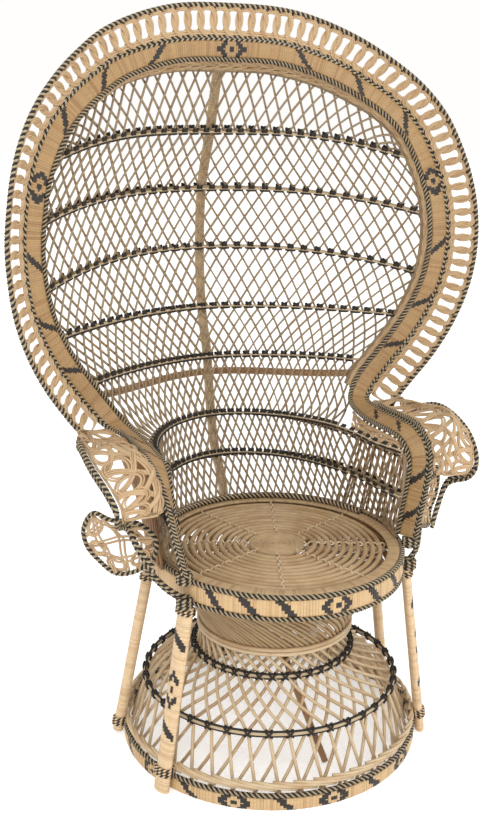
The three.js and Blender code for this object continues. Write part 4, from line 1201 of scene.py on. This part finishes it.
brace_level, brace_reach = 2.72, 5.9
depth_at_middle, depth_at_ends = 42.0, 12.0
brace_columns = np.linspace(-brace_reach, brace_reach, 80)
brace_levels = np.full(80, brace_level)
brace_share = np.abs(brace_columns) / brace_reach
brace_depth = depth_at_middle + (depth_at_ends - depth_at_middle) * brace_share
brace_path = on_weave(brace_levels, brace_columns)
brace_path = brace_path - weave_front(brace_levels, brace_columns) * brace_depth[:, None]
brace = Weaving(44)
cane(brace, brace_path, 8.2, up, 12)
brace.make("back_brace", brown, "brown_pole", "brace_bar")


# %% [markdown]
# ## Legs
# Four legs stand outside the pedestal. The front pair is flat and wide and has dyed motifs, the rear
# pair is round and is tied on a little above the floor. Turns of cord lash each leg near its foot and
# under the seat. One brown post leans inside the pedestal.

# %% The legs and the post
def leg(name, foot_place, top_place, depth, width, places, seed, node, foot_share=0.0):
    """A wrapped leg. Places are shares of the base's radius and of the seat's width."""
    bottom = np.array([*(share * base_radius for share in foot_place), 0])
    top = np.array([*(share * seat_width for share in top_place), apron_foot - cord_radius - clearance])
    total = np.linalg.norm(top - bottom)
    out = unit(bottom * [1, 1, 0])
    a = full_turn(20)
    section = np.stack([width / 2 * np.sin(a), depth / 2 * np.cos(a)], axis=1)
    weaving = Weaving(seed)
    front_side = section[None, :, 1] > 0
    marks = motifs([(at * total, kind) for at, kind in places])
    shape = lambda u, s: front_side & marks(u, s)
    t = np.linspace(0, 1, 60)[:, None]
    path = bottom + (top - bottom) * (foot_share + (1 - foot_share) * t)
    wrapped(weaving, path, section, np.cross(out, up), 4.6, motif=shape if places else None, groove=0.6)
    room, turn_width = 2.4, 6.4
    loop = np.outer(np.cos(a) * (depth / 2 + room), out)
    loop = loop + np.outer(np.sin(a) * (width / 2 + room), np.cross(up, out))
    for share, lashings in ((0.115, 3), (0.975, 2)):
        for k in range(lashings):
            centre = bottom + (top - bottom) * (share + (k - (lashings - 1) / 2) * turn_width / total)
            twisted(weaving, centre + loop, 3.0, up, 10, True)
    both_sides(weaving, name, natural_painted_light, "natural_cane", node)


leg_motifs = [(0.34, stroke(-0.9)), (0.56, lambda u, a: flower(u * 0.8, a * 1.2)), (0.82, stroke(-0.9))]
leg("front_leg_wrap", (0.93864, -0.46299), (0.94578, -0.56225), 20, 36, leg_motifs, 50, "front_leg")
leg("rear_leg_wrap", (1.03474, 0.21201), (1.02088, 0.13253), 22, 22, [], 51, "rear_leg", 0.055)

post = Weaving(52)
post_rows = [(0.25641, -1.21795, 0.03876), (-0.05128, -0.83333, 0.65891), (-0.21282, -0.85, 0.96899)]
cane(post, np.array(post_rows) * [waist_radius, waist_radius, waist_height], 6.6, [1, 0, 0], 12)
post.make("pedestal_post", brown, "dyed_cane", "inner_post")

# %% [markdown]
# ## Wings and ears
# Outside each arm a wing of large loops curls outwards and down, and below it hangs an ear. The wing's
# surface is read from a small table of rows, and its canes are drawn on it: bundles of three that lean
# both ways, two lines of loops, and canes along its edges and its ridge. Each row holds a station of
# the arm's outer cord, then a point of the ridge and one of the lower edge, as shares of the rim's size.

# %% The wings
wing_rows = [
    (16.3, [0.829, 0.527, 0.236], [0.836, 0.481, 0.214]),
    (17.3, [0.808, 0.03, 0.249], [0.8733, 0.0582, 0.2437]),
    (18.3, [0.785, -0.43, 0.268], [0.8833, -0.3435, 0.2303]),
    (19.4, [0.7123, -0.7004, 0.2503], [0.8568, -0.6063, 0.2007]),
    (20.4, [0.6826, -0.7257, 0.2042], [0.8336, -0.7034, 0.1709]),
    (21.4, [0.6849, -0.6962, 0.1518], [0.8208, -0.6418, 0.1393]),
]
wing_ridge = np.array([placed(ridge) for _, ridge, _ in wing_rows])
wing_foot = np.array([placed(lower) for _, _, lower in wing_rows])
wing_cord = cord_line([s for s, _, _ in wing_rows], 1)
wing_cord = wing_cord + unit(wing_ridge - wing_cord) * 9
wing_end = len(wing_rows) - 1


def on_wing(i, w):
    """A point of the wing: i counts its rows, w is 0 at the arm, 1 on the ridge, 2 at the lower edge."""
    at = np.clip(i, 0, wing_end) / wing_end
    a, b, c = (spline(line, at) for line in (wing_cord, wing_ridge, wing_foot))
    w = np.asarray(w, float)[:, None]
    return np.where(w < 1, a + (b - a) * w, b + (c - b) * (w - 1))


def wing_out(i, w):
    """Direction out of the wing, read a little inside its ends."""
    d = 0.08
    i = np.clip(i, 0.1, wing_end - 0.1)
    run = on_wing(i + d, w) - on_wing(i - d, w)
    rise = on_wing(i, w + d) - on_wing(i, w - d)
    return unit(np.cross(rise, run))


def wing_cane(i, w, swing, closed=False):
    normal = wing_out(i, w)
    cane(wing, on_wing(i, w) + normal * (2.6 * swing)[:, None], 2.1, normal, closed=closed)


theta = full_turn(40)
wing = Weaving(60)
t = np.linspace(0, 1, 34)
for lean in (1, -1):
    for start in np.arange(-0.35, 5.5, 0.92):
        for side in (-0.075, 0, 0.075):
            a = start + side + lean * 0.85 * np.sin((t - 0.5) * math.pi)
            room = 0.02 + abs(side)
            if np.ptp(np.clip(a, 0.02, wing_end - 0.02)) >= 0.4:
                a = np.clip(a, room, wing_end - room)
                wing_cane(a, 0.06 + 1.88 * t, np.sin(t * 3 * math.pi) * lean)
for w in (0.42, 1.56):
    for number in range(7):
        for size in (1, 0.8):
            a = np.clip(0.38 + 0.7 * number + 0.4 * size * np.cos(theta), 0, wing_end)
            wing_cane(a, w + 0.36 * size * np.sin(theta), np.cos(2 * theta), True)
along_wing = np.linspace(0, wing_end, 60)
for w in (0.04, 1.0, 1.06, 1.96):
    level_w = np.full(60, w)
    cane(wing, on_wing(along_wing, level_w) + wing_out(along_wing, level_w - 0.1), 2.4, up)
both_sides(wing, "wing_of_loops", pale, "natural_cane", "arm_wing")

wing_tail = [[0.7763, -0.4979, 0.1162], [0.726, -0.5, 0.065], [0.676, -0.57, 0.029]]
away = unit(wing_ridge - wing_foot)
wing_edge_points = np.vstack([wing_foot - away * 7.6, [placed(p) for p in wing_tail]])
wing_edge_line = spline(wing_edge_points, np.linspace(0, 1, 160))
wing_edge = Weaving(61)
for sense in (1, -1):
    twisted(wing_edge, wing_edge_line + [0, 0, 4.6 * sense], 4.8, up, 12, sense=sense)
both_sides(wing_edge, "wing_edge_cord", two_tone, "two_tone_cord", "wing_cord")

# %% [markdown]
# The ear is a ring of cord. Three pairs of canes cross it in each of two directions, and six double
# loops lie round its edge. They are drawn by an angle and by a share of the way to the cord, so that
# they follow the ring's uneven outline.

# %% The ears
ear_rows = [
    [0.804, -0.211, 0.107],
    [0.858, -0.084, 0.113],
    [0.893, -0.013, 0.076],
    [0.881, -0.021, 0.04],
    [0.84, -0.063, 0.012],
    [0.783, -0.211, -0.007],
    [0.712, -0.316, 0.003],
    [0.651, -0.409, 0.035],
    [0.64, -0.42, 0.075],
    [0.703, -0.346, 0.105],
]
ear_points = np.array([placed(row) for row in ear_rows])
ear_ring = spline(ear_points, np.arange(120) / 120, True)
ear_centre = ear_ring.mean(0)
ear_push = np.array([-0.6, 0.8, 0]) * fine_cord * 3
ear_edge = Weaving(62)
twisted(ear_edge, ear_ring, 4.8, ear_ring - ear_centre, 11, True)
both_sides(ear_edge, "ear_ring_cord", two_tone, "two_tone_cord", "ear_cord")


def on_ear(angle, reach):
    """A point of the ear: an angle round it, and a reach from 0 in its middle to 1 at its cord."""
    edge_point = spline(ear_points, (angle / turn) % 1, True)
    reach = np.asarray(reach, float)[:, None]
    return ear_centre + (edge_point - ear_centre) * reach + ear_push * (1 - reach) * 1.4


ear_face = unit(np.cross(ear_ring[30] - ear_centre, ear_ring[0] - ear_centre))
ear = Weaving(63)
t = np.linspace(-1, 1, 36)
for heading in (0.35, 1.9):
    for number, offset in enumerate((-0.5, -0.02, 0.46)):
        for side in (-0.055, 0.055):
            bow = (offset + side) * (1.25 - 0.55 * t**2)
            run = t * np.sqrt(np.maximum(0.93 - bow**2, 0.05))
            swing = 2.5 * np.sin(t * 4.5 + number * 3.1 + heading)
            path = on_ear(np.arctan2(bow, run) + heading, np.hypot(run, bow))
            cane(ear, path + np.outer(swing, ear_face), 2.2, ear_face)
for number in range(6):
    for grow in (1.0, 0.8):
        path = on_ear(number / 6 * turn + 0.4 * grow * np.cos(theta), 0.74 + 0.19 * grow * np.sin(theta))
        cane(ear, path + np.outer(2.4 * np.cos(2 * theta), ear_face), 2.1, ear_face, closed=True)
both_sides(ear, "ear_of_loops", pale, "natural_cane", "ear_loops")

# %% [markdown]
# At each front corner two cords run from the arm to under the seat, and turns of cord bind the arm's
# foot. Slanted canes close the outside of the arm, between its outer cord and the seat.

# %% Corner cords and the outer wall of the arms
corner_rows = [[0.677, -0.385, 0.012], [0.61, -0.54, -0.02], [0.531, -0.605, -0.044]]
corner = Weaving(64)
corner_line = spline([placed(row) for row in corner_rows], np.linspace(0, 1, 40))
for lift in (3, -4):
    twisted(corner, corner_line + [0, 0, lift], 4.6, up, 12)
knot_middle = np.array([240, -143, 0])
for z in (442, 435, 428, 394, 387, 380):
    knot = ring(12.5, z, 32)
    twisted(corner, knot + knot_middle, 4.0, knot - [0, 0, z], 11, True)
both_sides(corner, "corner_cords", two_tone, "two_tone_cord", "corner_cord")

wall_count, wall_drop = 14, 9.6
wall_s = np.linspace(neck + 0.9, neck + 3.7, wall_count)
wall_top = cord_line(wall_s, 1) - [0, 0, wall_drop]
wall_foot = seat_oval(np.linspace(0.66, -0.14, wall_count), -9.6, apron_top)
wall = Weaving(65)
for k in range(1, wall_count):
    cane(wall, [wall_foot[k], wall_top[k - 1]], 3.4, [1, 0, 0], 8)
cane(wall, wall_foot, 4.4, up, 8)
both_sides(wall, "arm_side_wall", brown, "brown_pole", "arm_wall")

# %% [markdown]
# ## Floor, light and camera
# A plain pale floor and large soft lights show the weave without hard shadows. The camera stands
# where the photograph was taken from: the directions and the focal length were solved from the
# ellipses of the seat, the base and the waist.

# %% The stage
scene = bpy.context.scene
floor_mesh = bpy.data.meshes.new("floor")
far_off = 30.0
floor_corners = [(x * far_off, y * far_off, 0) for x, y in ((-1, -1), (1, -1), (1, 1), (-1, 1))]
floor_mesh.from_pydata(floor_corners, [], [(0, 1, 2, 3)])
floor = bpy.data.objects.new("floor", floor_mesh)
scene.collection.objects.link(floor)
floor_board = Board("pale_floor")
floor_grain = floor_board.node("ShaderNodeTexNoise", None, {"Scale": 3.0, "Detail": 2.0})
floor_colour = floor_board.mix(floor_grain, (0.86, 0.855, 0.85), (0.9, 0.895, 0.89))
floor_glow = dict(Emission_Color=(1, 1, 1, 1), Emission_Strength=0.35)
floor_mesh.materials.append(floor_board.surface(Base_Color=floor_colour, Roughness=0.9, **floor_glow))
floor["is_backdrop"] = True

world = bpy.data.worlds.new("studio")
scene.world = world
world.use_nodes = True
sky = world.node_tree.nodes["Background"]
sky.inputs["Color"].default_value = (1, 0.99, 0.975, 1)
sky.inputs["Strength"].default_value = 1.0


def soft_light(name, place, aim, power, width):
    data = bpy.data.lights.new(name, "AREA")
    data.energy, data.size, data.shape = power, width, "DISK"
    light = bpy.data.objects.new(name, data)
    light.location = place
    light.rotation_euler = (Vector(aim) - Vector(place)).to_track_quat("-Z", "Y").to_euler()
    scene.collection.objects.link(light)


soft_light("key", (-1.6, -3.2, 3.2), (0, 0, 0.7), 75, 1.6)
soft_light("fill", (2.6, -2.4, 1.8), (0, 0, 0.7), 25, 2.0)
print("lights:", [light.name for light in bpy.data.lights])

# %% The camera
camera_data = bpy.data.cameras.new("camera")
camera = bpy.data.objects.new("camera", camera_data)
scene.collection.objects.link(camera)
scene.camera = camera
picture_width, picture_height, sensor = 481, 816, 36
focal, centre_x, centre_y = 1076.884, 257.629, 405.996
right = Vector((0.918238, -0.395827, 0.01266)).normalized()
ahead = Vector((0.384767, 0.8841, -0.265183)).normalized()
top = right.cross(ahead).normalized()
turned = Matrix((right, top, -ahead)).transposed().to_4x4()
place = np.array([-849.168, -1870.262, 1268.349]) / metre + shift
turned.translation = Vector(place)
camera.matrix_world = turned
camera_data.sensor_width = sensor
camera_data.lens = focal / picture_height * sensor
camera_data.shift_x = -(centre_x - picture_width / 2) / picture_height
camera_data.shift_y = (centre_y - picture_height / 2) / picture_height
scene.view_settings.view_transform = "Standard"
print("lens:", round(camera_data.lens, 2), "at", [round(v, 3) for v in place])

# %% [markdown]
# Last, the size of the looks is set beside that of the solids.

# %% The end: sizes
low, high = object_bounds()
missing = [round(metre * (b - a), 1) for a, b in zip(high - low, cad_high - cad_low)]
print("millimetres that the looks lack of the solids' width, depth and height:", missing)
